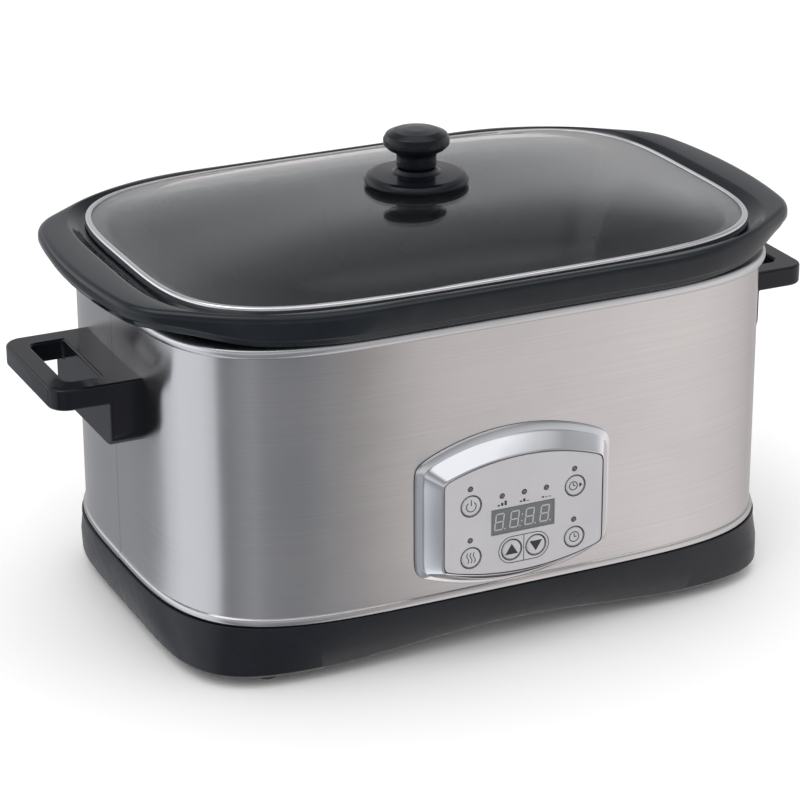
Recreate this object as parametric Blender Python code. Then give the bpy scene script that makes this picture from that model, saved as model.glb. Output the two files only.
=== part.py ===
"""Rectangular digital slow cooker: a heated housing, a lift-out crock and a glass lid.

Frame: metres, +Z up, origin on the floor under the middle of the cooker.
X runs along the length (handle to handle) and the control panel faces -Y.
"""
import bpy
import bmesh
import math
import numpy as np
from mathutils import Matrix, Vector

MM = 0.001
GAP = 0.3 * MM                      # clearance kept between touching pieces

# --- outlines: (half length X, half width Y, exponent X, exponent Y) -----------------
SIDES = 48                          # points round every plan outline
BODY_N, BODY_M = 5.2, 3.5           # squareness of the steel body
LID_N, LID_M = 4.2, 3.9             # squareness of the lid and of the crock's mouth
FOOTPRINT_N, FOOTPRINT_M = 7.5, 5.0  # the squarer bottom edge of the base

# --- levels above the floor ----------------------------------------------------------
FOOT_H = 5 * MM
BASE_TOP = 37 * MM
WRAP_TOP = 197.6 * MM
RIM_SEAT = 200.0 * MM               # where the crock's flange rests on the liner
RIM_TOP = 218.0 * MM
LID_SEAT = 213.9 * MM
GLASS_TOP = 236.0 * MM
KNOB_TOP = 268.0 * MM

# --- body ----------------------------------------------------------------------------
WRAP_A, WRAP_B = 187.0 * MM, 127.0 * MM
WRAP_T = 0.8 * MM
BEAD = 1.6 * MM                     # how far the bottom bead stands out
SEAM = 0.15 * MM                    # half the gap where the two wrap halves meet
BASE_A, BASE_B = 189.7 * MM, 128.4 * MM
BASE_LIP = 5.4 * MM                 # width of the ledge that carries the wrap
ARCH_H, ARCH_SPAN = 6.5 * MM, 130 * MM
SOLE_IN_A, SOLE_IN_B = 178 * MM, 113 * MM          # flat bottom edge, inside and outside
SOLE_OUT_A, SOLE_OUT_B = 181.5 * MM, 116.5 * MM
SOLE_CHAMFER_A, SOLE_CHAMFER_B, SOLE_CHAMFER_H = 185 * MM, 121 * MM, 3 * MM
WAIST_A, WAIST_B, WAIST_Z = 187.8 * MM, 125.8 * MM, 21 * MM
WAIST_N, WAIST_M = 6.2, 4.2
WEB_LOW, WEB_TOP = 13 * MM, 16 * MM                # the floor web with its open middle
WEB_A, WEB_B = 112 * MM, 62 * MM
RECESS_A, RECESS_B = 176 * MM, 108.5 * MM          # hollow under the web
WALL_FOOT_A, WALL_FOOT_B = 182 * MM, 117.5 * MM    # inside of the side wall, just above the web
COVER_A, COVER_B, COVER_T = 150 * MM, 82 * MM, 2 * MM
COVER_SCREW_X, COVER_SCREW_Y, COVER_HOLE_R = 128 * MM, 68 * MM, 1.8 * MM
VENT_X = (60 * MM, 72 * MM, 84 * MM)               # cooling slots in the bottom cover
VENT_HALF_W, VENT_HALF_L = 2 * MM, 30 * MM
FOOT_X, FOOT_Y, FOOT_R = 140 * MM, 100.5 * MM, 7.5 * MM
PAD_R = 9 * MM

# --- liner, heater and insulation ------------------------------------------------------
LINER_FLOOR = 62.6 * MM
LINER_T = 1.2 * MM
LINER_LOW_A, LINER_LOW_B, LINER_LOW_Z = 163 * MM, 105 * MM, 68 * MM
LINER_TOP_A, LINER_TOP_B, LINER_TOP_Z = 180.5 * MM, 121.5 * MM, 196.5 * MM
ROLL_OUT = 3.0 * MM                 # how far the rolled rim stands out from the wrap
HEATER_LOW, HEATER_TOP, HEATER_T = 86 * MM, 150 * MM, 1.6 * MM
BLANKET_LOW, BLANKET_TOP, BLANKET_T = 82 * MM, 165 * MM, 4 * MM

# --- crock -----------------------------------------------------------------------------
FLANGE_A, FLANGE_B = 211.5 * MM, 133.5 * MM
BOW_R, BOW_Y = 350 * MM, 66 * MM    # radius of the bowed end, and how far along it runs
FLANGE_END_Y, FLANGE_END_R = 79 * MM, 42 * MM        # corner where the end meets the diagonal
FLANGE_SIDE_X, FLANGE_SIDE_R = 134.9 * MM, 138 * MM  # corner where the diagonal meets the side
WING_LIFT = 6.4 * MM                # how much higher the flange's underside is at the ends
CROCK_BOTTOM, CROCK_FLOOR = 68 * MM, 77.5 * MM
CROCK_FOOT_A, CROCK_FOOT_B = 140 * MM, 82 * MM       # underside, then the outer wall low and high
CROCK_LOW_A, CROCK_LOW_B = 156 * MM, 98 * MM
CROCK_HIGH_A, CROCK_HIGH_B = 176 * MM, 118 * MM
CROCK_NECK_A, CROCK_NECK_B = 178 * MM, 119.5 * MM    # where the wall turns out into the flange
CHANNEL_A, CHANNEL_B = 191 * MM, 126.6 * MM          # edge of the channel that the lid drops into
CHANNEL_WALL_A, CHANNEL_WALL_B = 184 * MM, 124.8 * MM
SEAT_IN_A, SEAT_IN_B = 170 * MM, 113 * MM            # inner edge of the lid's seat
BOWL_TOP_A, BOWL_TOP_B = 168 * MM, 111 * MM          # inside wall at the top and at the bottom
BOWL_LOW_A, BOWL_LOW_B = 148 * MM, 91 * MM
BOWL_FLOOR_A, BOWL_FLOOR_B = 128 * MM, 72 * MM

# --- lid ---------------------------------------------------------------------------------
LID_A, LID_B = 180.4 * MM, 123.2 * MM
BAND_W, BAND_T = 3.2 * MM, 0.6 * MM
GLASS_T = 3.4 * MM
KNOB_DISC_R, KNOB_STEM_R, KNOB_CAP_R = 30 * MM, 11.5 * MM, 19 * MM
KNOB_DISC_H = 9.2 * MM
KNOB_BLIND = 253 * MM               # top of the blind hole for the knob's screw

# --- handles -----------------------------------------------------------------------------
HANDLE_REACH, HANDLE_HALF = 237 * MM, 44.5 * MM
HANDLE_TOP, HANDLE_BAR, HANDLE_LOW = 164 * MM, 12 * MM, 125.5 * MM
PLATE_X = 205 * MM                  # outer face of the mounting plate
GRIP_OUT, GRIP_HALF = 225 * MM, 31 * MM
HANDLE_SCREW_Y, HANDLE_SCREW_Z = 25 * MM, 138 * MM

# --- control panel outlines: (half width, side z low/high, z low/high, corner squareness) ---
PANEL_X = -2 * MM
PANEL_MID_Z = 88 * MM
PANEL_SIDES = 40
FACE_Y = -141.0 * MM                # front of the faceplate
FACE_T = 1.4 * MM
BEZEL_WALL = (60.2, 55, 120, 42, 135, 24)
BEZEL_EDGE = (57.0, 57, 118, 45, 131, 24)
BEZEL_INNER = (49.6, 60.3, 113.8, 52.5, 123.1, 40)
FACE_OUTLINE = (48.8, 61, 113, 53.3, 122.3, 40)
PANEL_HOLE = (50.0, 62, 112, 54, 122, 16)
KEY_R, KEY_GAP = 5.7 * MM, 0.4 * MM
KEYS = {                            # offsets from the panel's middle, and height
    "key_start": (-32.5, 97.6),
    "key_heat": (-32.5, 66.6),
    "key_delay": (31.5, 97.8),
    "key_time": (31.5, 66.8),
    "key_up": (-7.5, 66.7),
    "key_down": (7.5, 66.7),
}
LAMPS = {
    "lamp_start": (-33, 107.8),
    "lamp_heat": (-33, 77.1),
    "lamp_delay": (31, 108.0),
    "lamp_time": (31, 77.5),
    "lamp_left": (-13.6, 100.1),
    "lamp_middle": (0, 100.1),
    "lamp_right": (13.6, 100.1),
}
LAMP_R = 1.4 * MM
WINDOW = (-19.8, 18.5, 77.6, 92.2)  # x low/high from the panel's middle, z low/high
BOARD_FRONT, BOARD_T = -132.7 * MM, 1.6 * MM
POWER_DECK = 22 * MM                # underside of the power board
CLIP_X, CLIP_HALF, CLIP_DROP = 60 * MM, 16 * MM, 7.8 * MM

# --- mains lead gland ------------------------------------------------------------------------
GLAND_X, GLAND_Z, GLAND_END = 60 * MM, 54 * MM, 140.5 * MM


# ============================== helpers ==============================

def clear_scene():
    for obj in list(bpy.data.objects):
        bpy.data.objects.remove(obj, do_unlink=True)


def material(name, colour, roughness, metallic=0.0, alpha=1.0):
    found = bpy.data.materials.get(name)
    if found:
        return found
    made = bpy.data.materials.new(name)
    made.use_nodes = True
    shader = made.node_tree.nodes["Principled BSDF"]
    shader.inputs["Base Color"].default_value = (*colour, 1.0)
    shader.inputs["Roughness"].default_value = roughness
    shader.inputs["Metallic"].default_value = metallic
    shader.inputs["Alpha"].default_value = alpha
    made.diffuse_color = (*colour, alpha)
    return made


def glaze_black():
    return material("black_glaze", (0.035, 0.042, 0.048), 0.22)


def brushed_steel():
    return material("brushed_steel", (0.62, 0.60, 0.58), 0.32, 1.0)


def bright_steel():
    return material("bright_steel", (0.75, 0.75, 0.76), 0.15, 1.0)


def chrome():
    return material("chrome_trim", (0.85, 0.86, 0.88), 0.06, 1.0)


def black_gloss():
    return material("black_gloss_plastic", (0.02, 0.023, 0.028), 0.12)


def black_matte():
    return material("black_matte_plastic", (0.022, 0.027, 0.034), 0.5)


def silver_plastic():
    return material("silver_plastic", (0.48, 0.48, 0.51), 0.35, 0.3)


def lid_glass_clear():
    return material("clear_glass", (0.85, 0.88, 0.88), 0.03, 0.0, 0.3)


def display_window():
    return material("display_window", (0.16, 0.19, 0.21), 0.12)


def lamp_plastic():
    return material("lamp_plastic", (0.09, 0.07, 0.07), 0.3)


def aluminised_sheet():
    return material("aluminised_sheet", (0.55, 0.56, 0.57), 0.4, 1.0)


def zinc_steel():
    return material("zinc_steel", (0.6, 0.6, 0.58), 0.35, 1.0)


def mica_belt():
    return material("mica_belt", (0.42, 0.30, 0.18), 0.6)


def glass_wool():
    return material("glass_wool", (0.75, 0.72, 0.62), 0.95)


def circuit_green():
    return material("circuit_board", (0.03, 0.16, 0.07), 0.5)


def component_black():
    return material("component_black", (0.03, 0.03, 0.03), 0.5)


def soft_rubber():
    return material("soft_rubber", (0.03, 0.03, 0.03), 0.8)


def white_ceramic():
    return material("white_ceramic", (0.8, 0.78, 0.74), 0.5)


def cable_grey():
    return material("cable_grey", (0.35, 0.35, 0.36), 0.6)


def add_mesh(name, bm, look, smooth_angle=35):
    """Turn a bmesh into a named object with outward faces and smooth round sides."""
    bmesh.ops.remove_doubles(bm, verts=bm.verts, dist=1e-6)
    bmesh.ops.recalc_face_normals(bm, faces=bm.faces)
    mesh = bpy.data.meshes.new(name)
    bm.to_mesh(mesh)
    bm.free()
    mesh.shade_smooth()
    mesh.set_sharp_from_angle(angle=math.radians(smooth_angle))
    obj = bpy.data.objects.new(name, mesh)
    bpy.context.scene.collection.objects.link(obj)
    mesh.materials.append(look)
    return obj


def superellipse(a, b, n, m):
    """Radius of the outline |x/a|^n + |y/b|^m = 1 as a function of the bearing."""
    def radius(bearing):
        c, s = abs(math.cos(bearing)), abs(math.sin(bearing))
        low, high = 0.0, 2 * (a + b)
        for _ in range(50):
            mid = (low + high) / 2
            inside = (mid * c / a) ** n + (mid * s / b) ** m < 1
            low, high = (mid, high) if inside else (low, mid)
        return low
    return radius


def body(offset=0.0, a=WRAP_A, b=WRAP_B):
    return superellipse(a + offset, b + offset, BODY_N, BODY_M)


def mouth(a, b):
    return superellipse(a, b, LID_N, LID_M)


def footprint(a, b):
    return superellipse(a, b, FOOTPRINT_N, FOOTPRINT_M)


def circle(r):
    return lambda bearing: r


def blend(first, second, share):
    return lambda bearing: first(bearing) * (1 - share) + second(bearing) * share


def fillet(before, corner, after, r, steps=10):
    """Arc of radius r that rounds the corner between two straight edges."""
    into = (Vector(before) - Vector(corner)).normalized()
    out = (Vector(after) - Vector(corner)).normalized()
    half = into.angle(out) / 2
    centre = Vector(corner) + (into + out).normalized() * (r / math.sin(half))
    start = Vector(corner) + into * (r / math.tan(half)) - centre
    turn = math.pi - 2 * half
    return [centre + Matrix.Rotation(turn * i / steps, 2) @ start for i in range(steps + 1)]


def inset_corner(corner, before, after, inset):
    """Move a corner inwards, given the outward normals of its two edges."""
    return Vector(corner) - (before + after) * (inset / (1 + before.dot(after)))


def flange(inset=0.0):
    """Outline of the crock's flange: bowed ends, diagonal corners and long sides."""
    swing = math.asin(BOW_Y / BOW_R)
    bow_r = BOW_R - inset
    bow = [(FLANGE_A - BOW_R + bow_r * math.cos(swing * i / 4), bow_r * math.sin(swing * i / 4))
           for i in range(5)]
    end_normal = Vector((math.cos(swing), math.sin(swing)))
    end_x = FLANGE_A - BOW_R * (1 - math.cos(swing)) - (FLANGE_END_Y - BOW_Y) * math.tan(swing)
    run = Vector((FLANGE_SIDE_X - end_x, FLANGE_B - FLANGE_END_Y))
    diagonal_normal = Vector((run.y, -run.x)).normalized()
    end = inset_corner((end_x, FLANGE_END_Y), end_normal, diagonal_normal, inset)
    side = inset_corner((FLANGE_SIDE_X, FLANGE_B), diagonal_normal, Vector((0, 1)), inset)
    quarter = [Vector(p) for p in bow]
    quarter += fillet(bow[-1], end, side, FLANGE_END_R - inset)
    quarter += fillet(end, side, (0.0, side.y), FLANGE_SIDE_R - inset)
    quarter += [Vector((0.0, side.y))]
    angles = np.array([math.atan2(p.y, p.x) for p in quarter])

    def radius(bearing):
        folded = math.atan2(abs(math.sin(bearing)), abs(math.cos(bearing)))
        after = int(np.clip(np.searchsorted(angles, folded), 1, len(angles) - 1))
        p, q = quarter[after - 1], quarter[after]
        along = Vector((math.cos(folded), math.sin(folded)))
        step = q - p
        return (p.x * step.y - p.y * step.x) / (along.x * step.y - along.y * step.x)
    return radius


def plan_bearings():
    """Bearings that crowd round the corners, where the outlines turn fastest."""
    found = []
    for i in range(SIDES):
        t = 2 * math.pi * i / SIDES
        x = WRAP_A * math.copysign(abs(math.cos(t)) ** (2 / 3.2), math.cos(t))
        y = WRAP_B * math.copysign(abs(math.sin(t)) ** (2 / 3.0), math.sin(t))
        found.append(math.atan2(y, x) % (2 * math.pi))
    return found


BEARINGS = plan_bearings()


def ring(outline, z):
    """Points of an outline at height z, which may itself depend on x and y."""
    points = []
    for bearing in BEARINGS:
        r = outline(bearing)
        x, y = r * math.cos(bearing), r * math.sin(bearing)
        points.append((x, y, z(x, y) if callable(z) else z))
    return points


def loft(rings, closed=False):
    """Skin a stack of equal rings: with flat ends, or closed on itself like a tyre."""
    bm = bmesh.new()
    rows = [[bm.verts.new(p) for p in points] for points in rings]
    pairs = list(zip(rows, rows[1:])) + ([(rows[-1], rows[0])] if closed else [])
    for low, high in pairs:
        for i in range(len(low)):
            j = (i + 1) % len(low)
            bm.faces.new((low[i], low[j], high[j], high[i]))
    if not closed:
        bm.faces.new(rows[0][::-1])
        bm.faces.new(rows[-1])
    return bm


def turned(profile, steps=24, closed=False):
    """Turn a (radius, height) profile about Z; radius 0 closes the end on the axis."""
    bm = bmesh.new()
    rows = []
    for r, z in profile:
        count = 1 if r == 0 else steps
        rows.append([
            bm.verts.new((r * math.cos(2 * math.pi * i / steps), r * math.sin(2 * math.pi * i / steps), z))
            for i in range(count)
        ])
    pairs = list(zip(rows, rows[1:])) + ([(rows[-1], rows[0])] if closed else [])
    for low, high in pairs:
        for i in range(steps):
            j = (i + 1) % steps
            corners = [low[i % len(low)], low[j % len(low)], high[j % len(high)], high[i % len(high)]]
            bm.faces.new(list(dict.fromkeys(corners)))
    return bm


def box(low, high):
    bm = bmesh.new()
    made = bmesh.ops.create_cube(bm, size=1.0)
    size = [h - l for l, h in zip(low, high)]
    middle = [(h + l) / 2 for l, h in zip(low, high)]
    bmesh.ops.scale(bm, vec=size, verts=made["verts"])
    bmesh.ops.translate(bm, vec=middle, verts=made["verts"])
    return bm


def prism(outline, low, high):
    """Extrude a closed list of plan points from height low to high."""
    return loft([[(x, y, z) for x, y in outline] for z in (low, high)])


def rounded_rectangle(x0, x1, y0, y1, radii, steps=5):
    """Plan outline, corners in the order (x1,y0) (x1,y1) (x0,y1) (x0,y0)."""
    corners = [(x1, y0), (x1, y1), (x0, y1), (x0, y0)]
    points = []
    for i, corner in enumerate(corners):
        if radii[i] == 0:
            points.append(corner)
            continue
        arc = fillet(corners[i - 1], corner, corners[(i + 1) % 4], radii[i], steps)
        points += [tuple(p) for p in arc]
    return points


def along_y(bm):
    """Lay a piece turned about Z down, so that its +Z points to +Y."""
    bmesh.ops.rotate(bm, matrix=Matrix.Rotation(-math.pi / 2, 3, "X"), verts=bm.verts)
    return bm


def along_x(bm, side=1):
    bmesh.ops.rotate(bm, matrix=Matrix.Rotation(side * math.pi / 2, 3, "Y"), verts=bm.verts)
    return bm


def moved(bm, x=0.0, y=0.0, z=0.0):
    bmesh.ops.translate(bm, vec=(x, y, z), verts=bm.verts)
    return bm


def rod(r, low, high, steps=16):
    return turned([(0, low), (r, low), (r, high), (0, high)], steps)


def combine(obj, operation, tools):
    """Apply a Boolean of each tool bmesh to the object and drop the tools."""
    for bm in tools:
        tool = add_mesh("tool", bm, obj.data.materials[0])
        cut = obj.modifiers.new("cut", "BOOLEAN")
        cut.operation = operation
        cut.solver = "EXACT"
        cut.object = tool
        graph = bpy.context.evaluated_depsgraph_get()
        done = bpy.data.meshes.new_from_object(obj.evaluated_get(graph))
        obj.modifiers.clear()
        obj.data = done
        bpy.data.objects.remove(tool, do_unlink=True)
    obj.data.shade_smooth()
    obj.data.set_sharp_from_angle(angle=math.radians(35))


def soften(obj, width):
    """Bevel an object's sharp edges."""
    bevel = obj.modifiers.new("soften", "BEVEL")
    bevel.width = width
    bevel.segments = 1
    bevel.limit_method = "ANGLE"
    bevel.angle_limit = math.radians(40)


# ============================== base ==============================

def arched(z):
    """The bottom edge lifts in a shallow arch along the middle of the long sides."""
    def height(x, y):
        if abs(x) > ARCH_SPAN or abs(y) < FOOT_Y:
            return z
        return z + ARCH_H * 0.5 * (1 + math.cos(math.pi * x / ARCH_SPAN))
    return height


def base_moulding():
    rings = [
        ring(footprint(SOLE_IN_A, SOLE_IN_B), arched(FOOT_H)),
        ring(footprint(SOLE_OUT_A, SOLE_OUT_B), arched(FOOT_H)),
        ring(footprint(SOLE_CHAMFER_A, SOLE_CHAMFER_B), arched(FOOT_H + SOLE_CHAMFER_H)),
        ring(superellipse(WAIST_A, WAIST_B, WAIST_N, WAIST_M), WAIST_Z),
        ring(body(0, BASE_A, BASE_B), BASE_TOP - 3.5 * MM),
        ring(body(0, BASE_A, BASE_B), BASE_TOP - 0.8 * MM),
        ring(body(-0.8 * MM, BASE_A, BASE_B), BASE_TOP),
        ring(body(-BASE_LIP, BASE_A, BASE_B), BASE_TOP),
        ring(body(-BASE_LIP, BASE_A, BASE_B), BASE_TOP - 4 * MM),
        ring(superellipse(WALL_FOOT_A, WALL_FOOT_B, WAIST_N, WAIST_M), WEB_TOP),
        ring(footprint(WEB_A, WEB_B), WEB_TOP),
        ring(footprint(WEB_A, WEB_B), WEB_LOW),
        ring(footprint(RECESS_A, RECESS_B), WEB_LOW),
    ]
    obj = add_mesh("base_moulding", loft(rings, closed=True), black_matte())
    pads = [moved(rod(PAD_R, FOOT_H, WEB_TOP - 1 * MM, 20), sx * FOOT_X, sy * FOOT_Y)
            for sx in (1, -1) for sy in (1, -1)]
    combine(obj, "UNION", pads)
    holes = [moved(rod(COVER_HOLE_R, 0, 30 * MM, 12), x, y) for x, y in cover_screw_places()]
    combine(obj, "DIFFERENCE", holes)


def cover_screw_places():
    return [(sx * COVER_SCREW_X, sy * COVER_SCREW_Y) for sx in (1, -1) for sy in (1, -1)]


def bottom_cover():
    """Plate screwed under the base, with posts for the power board and slots for cooling."""
    low, high = WEB_LOW - GAP - COVER_T, WEB_LOW - GAP
    outline = footprint(COVER_A, COVER_B)
    obj = add_mesh("bottom_cover", loft([ring(outline, low), ring(outline, high)]), black_matte())
    posts = [moved(rod(3 * MM, high - 1 * MM, POWER_DECK - GAP, 12), x, y)
             for x in (-100 * MM, -22 * MM) for y in (-38 * MM, 38 * MM)]
    combine(obj, "UNION", posts)
    holes = [moved(rod(COVER_HOLE_R, 0, 14 * MM, 12), x, y) for x, y in cover_screw_places()]
    holes.append(rod(3 * MM, 0, 30 * MM))
    holes += [box((x - VENT_HALF_W, -VENT_HALF_L, 0), (x + VENT_HALF_W, VENT_HALF_L, 30 * MM)) for x in VENT_X]
    combine(obj, "DIFFERENCE", holes)


def feet():
    for name, sx, sy in (("foot_front_left", -1, -1), ("foot_front_right", 1, -1),
                         ("foot_rear_left", -1, 1), ("foot_rear_right", 1, 1)):
        top = FOOT_H - GAP
        profile = [(0, 0), (FOOT_R - 1.5 * MM, 0), (FOOT_R - 0.4 * MM, 1 * MM), (FOOT_R, top), (0, top)]
        add_mesh(name, moved(turned(profile, 16), sx * FOOT_X, sy * FOOT_Y), soft_rubber())


def cover_screws():
    top = WEB_LOW - 2 * GAP - COVER_T
    for i, (x, y) in enumerate(cover_screw_places()):
        profile = [(0, top - 2 * MM), (2.4 * MM, top - 2 * MM), (3.2 * MM, top - 1 * MM),
                   (3.2 * MM, top), (1.3 * MM, top), (1.3 * MM, 19 * MM), (0, 20 * MM)]
        add_mesh(f"cover_screw_{i + 1}", moved(turned(profile, 12), x, y), zinc_steel())


# ============================== steel wrap ==============================

def half_shell(side):
    """Sheet that follows half the body outline, from seam to seam, with a bottom bead."""
    levels = [(BASE_TOP + 0.4 * MM, 0.6 * MM), (BASE_TOP + 1.2 * MM, BEAD),
              (BASE_TOP + 3.2 * MM, BEAD), (BASE_TOP + 4.2 * MM, 0.0), (WRAP_TOP, 0.0)]
    inner = body(-WRAP_T)
    seam_bearing = SEAM / WRAP_A
    bearings = [seam_bearing] + [b for b in BEARINGS if 0.02 < b < math.pi - 0.02] + [math.pi - seam_bearing]
    bm = bmesh.new()
    rows = []
    for z, out in levels:
        outer = body(out)
        loop = [outer(b) * Vector((math.cos(b), side * math.sin(b))) for b in bearings]
        loop += [inner(b) * Vector((math.cos(b), side * math.sin(b))) for b in reversed(bearings)]
        rows.append([bm.verts.new((p.x, p.y, z)) for p in loop])
    count = len(rows[0])
    for low, high in zip(rows, rows[1:]):
        for i in range(count):
            j = (i + 1) % count
            bm.faces.new((low[i], low[j], high[j], high[i]))
    for row in (rows[0], rows[-1]):
        for i in range(len(bearings) - 1):
            bm.faces.new((row[i], row[i + 1], row[count - 2 - i], row[count - 1 - i]))
    return bm


def handle_holes(side):
    """Clearance holes for the two handle screws in one wrap half."""
    return [moved(along_x(rod(2.4 * MM, -10 * MM, 10 * MM, 12)),
                  end * WRAP_A, side * HANDLE_SCREW_Y, HANDLE_SCREW_Z) for end in (1, -1)]


def wraps():
    front = add_mesh("wrap_front", half_shell(-1), brushed_steel())
    opening = barrel_prism(PANEL_HOLE, -140 * MM, -110 * MM)
    combine(front, "DIFFERENCE", [opening] + handle_holes(-1))
    rear = add_mesh("wrap_rear", half_shell(1), brushed_steel())
    gland = moved(along_y(rod(6.6 * MM, -15 * MM, 15 * MM, 20)), GLAND_X, WRAP_B, GLAND_Z)
    combine(rear, "DIFFERENCE", [gland] + handle_holes(1))


# ============================== liner and heating ==============================

def liner_wall(z, offset=0.0):
    """Outline of the liner's drafted wall at height z."""
    share = (z - LINER_LOW_Z) / (LINER_TOP_Z - LINER_LOW_Z)
    a = LINER_LOW_A + share * (LINER_TOP_A - LINER_LOW_A)
    b = LINER_LOW_B + share * (LINER_TOP_B - LINER_LOW_B)
    return body(offset, a, b)


def liner():
    under = WRAP_TOP + 0.6 * MM
    rings = [
        ring(body(-5 * MM, LINER_LOW_A, LINER_LOW_B), LINER_FLOOR),
        ring(liner_wall(LINER_LOW_Z), LINER_LOW_Z),
        ring(liner_wall(LINER_TOP_Z), LINER_TOP_Z),
        ring(liner_wall(LINER_TOP_Z, 1.6 * MM), under),
        ring(body(0.5 * MM), under),
        ring(body(0.5 * MM), WRAP_TOP - 3.2 * MM),
        ring(body(ROLL_OUT - 0.8 * MM), WRAP_TOP - 3.8 * MM),
        ring(body(ROLL_OUT), WRAP_TOP - 1.4 * MM),
        ring(body(ROLL_OUT - 1 * MM), RIM_SEAT - 0.6 * MM),
        ring(body(-0.5 * MM), RIM_SEAT),
        ring(liner_wall(LINER_TOP_Z, 0.6 * MM), RIM_SEAT),
        ring(liner_wall(LINER_TOP_Z, -LINER_T), RIM_SEAT - 2.5 * MM),
        ring(liner_wall(LINER_LOW_Z, -LINER_T), LINER_LOW_Z + 1 * MM),
        ring(body(-6 * MM, LINER_LOW_A, LINER_LOW_B), LINER_FLOOR + LINER_T),
    ]
    add_mesh("liner", loft(rings), aluminised_sheet())


def belt(name, low, high, inner, thickness, look):
    """Band wrapped round the liner's drafted wall."""
    rings = [ring(liner_wall(low, inner), low), ring(liner_wall(low, inner + thickness), low),
             ring(liner_wall(high, inner + thickness), high), ring(liner_wall(high, inner), high)]
    add_mesh(name, loft(rings, closed=True), look)


def heating():
    belt("heater_belt", HEATER_LOW, HEATER_TOP, 0.4 * MM, HEATER_T, mica_belt())
    belt("insulation_blanket", BLANKET_LOW, BLANKET_TOP, 2.6 * MM, BLANKET_T, glass_wool())


def under_liner_clip(name, x):
    """Bridge strip that presses a device up against the liner's floor."""
    top = LINER_FLOOR - GAP
    low, half, thick = top - CLIP_DROP, 5 * MM, 1.2 * MM
    bridge = box((x - CLIP_HALF, -half, low), (x + CLIP_HALF, half, low + thick))
    obj = add_mesh(name, bridge, zinc_steel())
    legs = [box((end - thick, -half, low), (end + thick, half, top)) for end in (x - CLIP_HALF, x + CLIP_HALF)]
    combine(obj, "UNION", legs)


def thermal_parts():
    top = LINER_FLOOR - GAP
    fuse_r = 3 * MM
    fuse = moved(along_x(rod(fuse_r, -10 * MM, 10 * MM)), CLIP_X, 0, top - fuse_r)
    add_mesh("thermal_fuse", fuse, white_ceramic())
    under_liner_clip("fuse_clip", CLIP_X)
    profile = [(0, top - 6 * MM), (4 * MM, top - 6 * MM), (4 * MM, top - 2 * MM), (7 * MM, top - 2 * MM),
               (7 * MM, top), (0, top)]
    add_mesh("temperature_sensor", moved(turned(profile, 20), -CLIP_X), aluminised_sheet())
    under_liner_clip("sensor_clip", -CLIP_X)


def tie_rod():
    top = LINER_FLOOR - GAP
    profile = [(0, 7.4 * MM), (2.4 * MM, 7.4 * MM), (2.4 * MM, top - 1.5 * MM), (9 * MM, top - 1.5 * MM),
               (9 * MM, top), (0, top)]
    add_mesh("tie_rod", turned(profile, 20), zinc_steel())
    nut_top = WEB_LOW - 2 * GAP - COVER_T
    nut_low = nut_top - 2.2 * MM
    nut = [(2.8 * MM, nut_low), (5.2 * MM, nut_low), (5.2 * MM, nut_top), (2.8 * MM, nut_top)]
    add_mesh("tie_nut", turned(nut, 6, closed=True), zinc_steel())


# ============================== crock ==============================

def wing(z):
    """Height of the flange's lower edge, which lifts in an S towards both ends."""
    def height(x, y):
        share = min(max((abs(x) - 140 * MM) / (55 * MM), 0.0), 1.0)
        return z + WING_LIFT * share * share * (3 - 2 * share)
    return height


def crock():
    under = RIM_SEAT + 0.4 * MM
    rings = [
        ring(body(0, CROCK_FOOT_A, CROCK_FOOT_B), CROCK_BOTTOM),
        ring(body(-5 * MM, CROCK_LOW_A, CROCK_LOW_B), CROCK_BOTTOM + 3 * MM),
        ring(body(0, CROCK_LOW_A, CROCK_LOW_B), CROCK_BOTTOM + 10 * MM),
        ring(body(0, CROCK_HIGH_A, CROCK_HIGH_B), under - 4 * MM),
        ring(body(0, CROCK_NECK_A, CROCK_NECK_B), under),
        ring(flange(2.4 * MM), wing(under)),
        ring(flange(2.2 * MM), wing(under + 3 * MM)),
        ring(flange(), wing(under + 4 * MM)),
        ring(flange(), RIM_TOP - 3.4 * MM),
        ring(flange(1.1 * MM), RIM_TOP - 0.8 * MM),
        ring(flange(3.4 * MM), RIM_TOP),
        ring(mouth(CHANNEL_A, CHANNEL_B), RIM_TOP),
        ring(mouth(CHANNEL_A - 2.5 * MM, CHANNEL_B - 0.8 * MM), RIM_TOP - 1.4 * MM),
        ring(mouth(CHANNEL_WALL_A, CHANNEL_WALL_B), LID_SEAT),
        ring(mouth(SEAT_IN_A, SEAT_IN_B), LID_SEAT),
        ring(mouth(BOWL_TOP_A, BOWL_TOP_B), LID_SEAT - 2.4 * MM),
        ring(mouth(BOWL_LOW_A, BOWL_LOW_B), CROCK_FLOOR + 9 * MM),
        ring(mouth(BOWL_LOW_A - 6 * MM, BOWL_LOW_B - 6 * MM), CROCK_FLOOR + 2.5 * MM),
        ring(mouth(BOWL_FLOOR_A, BOWL_FLOOR_B), CROCK_FLOOR),
    ]
    add_mesh("crock", loft(rings), glaze_black())


# ============================== lid ==============================

def dome(share):
    """Height of the lid's upper glass face; share is 1 at the flat edge, 0 at the knob."""
    edge = LID_SEAT + 4.5 * MM
    return edge + (GLASS_TOP - edge) * (1 - share ** 2.2)


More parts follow.
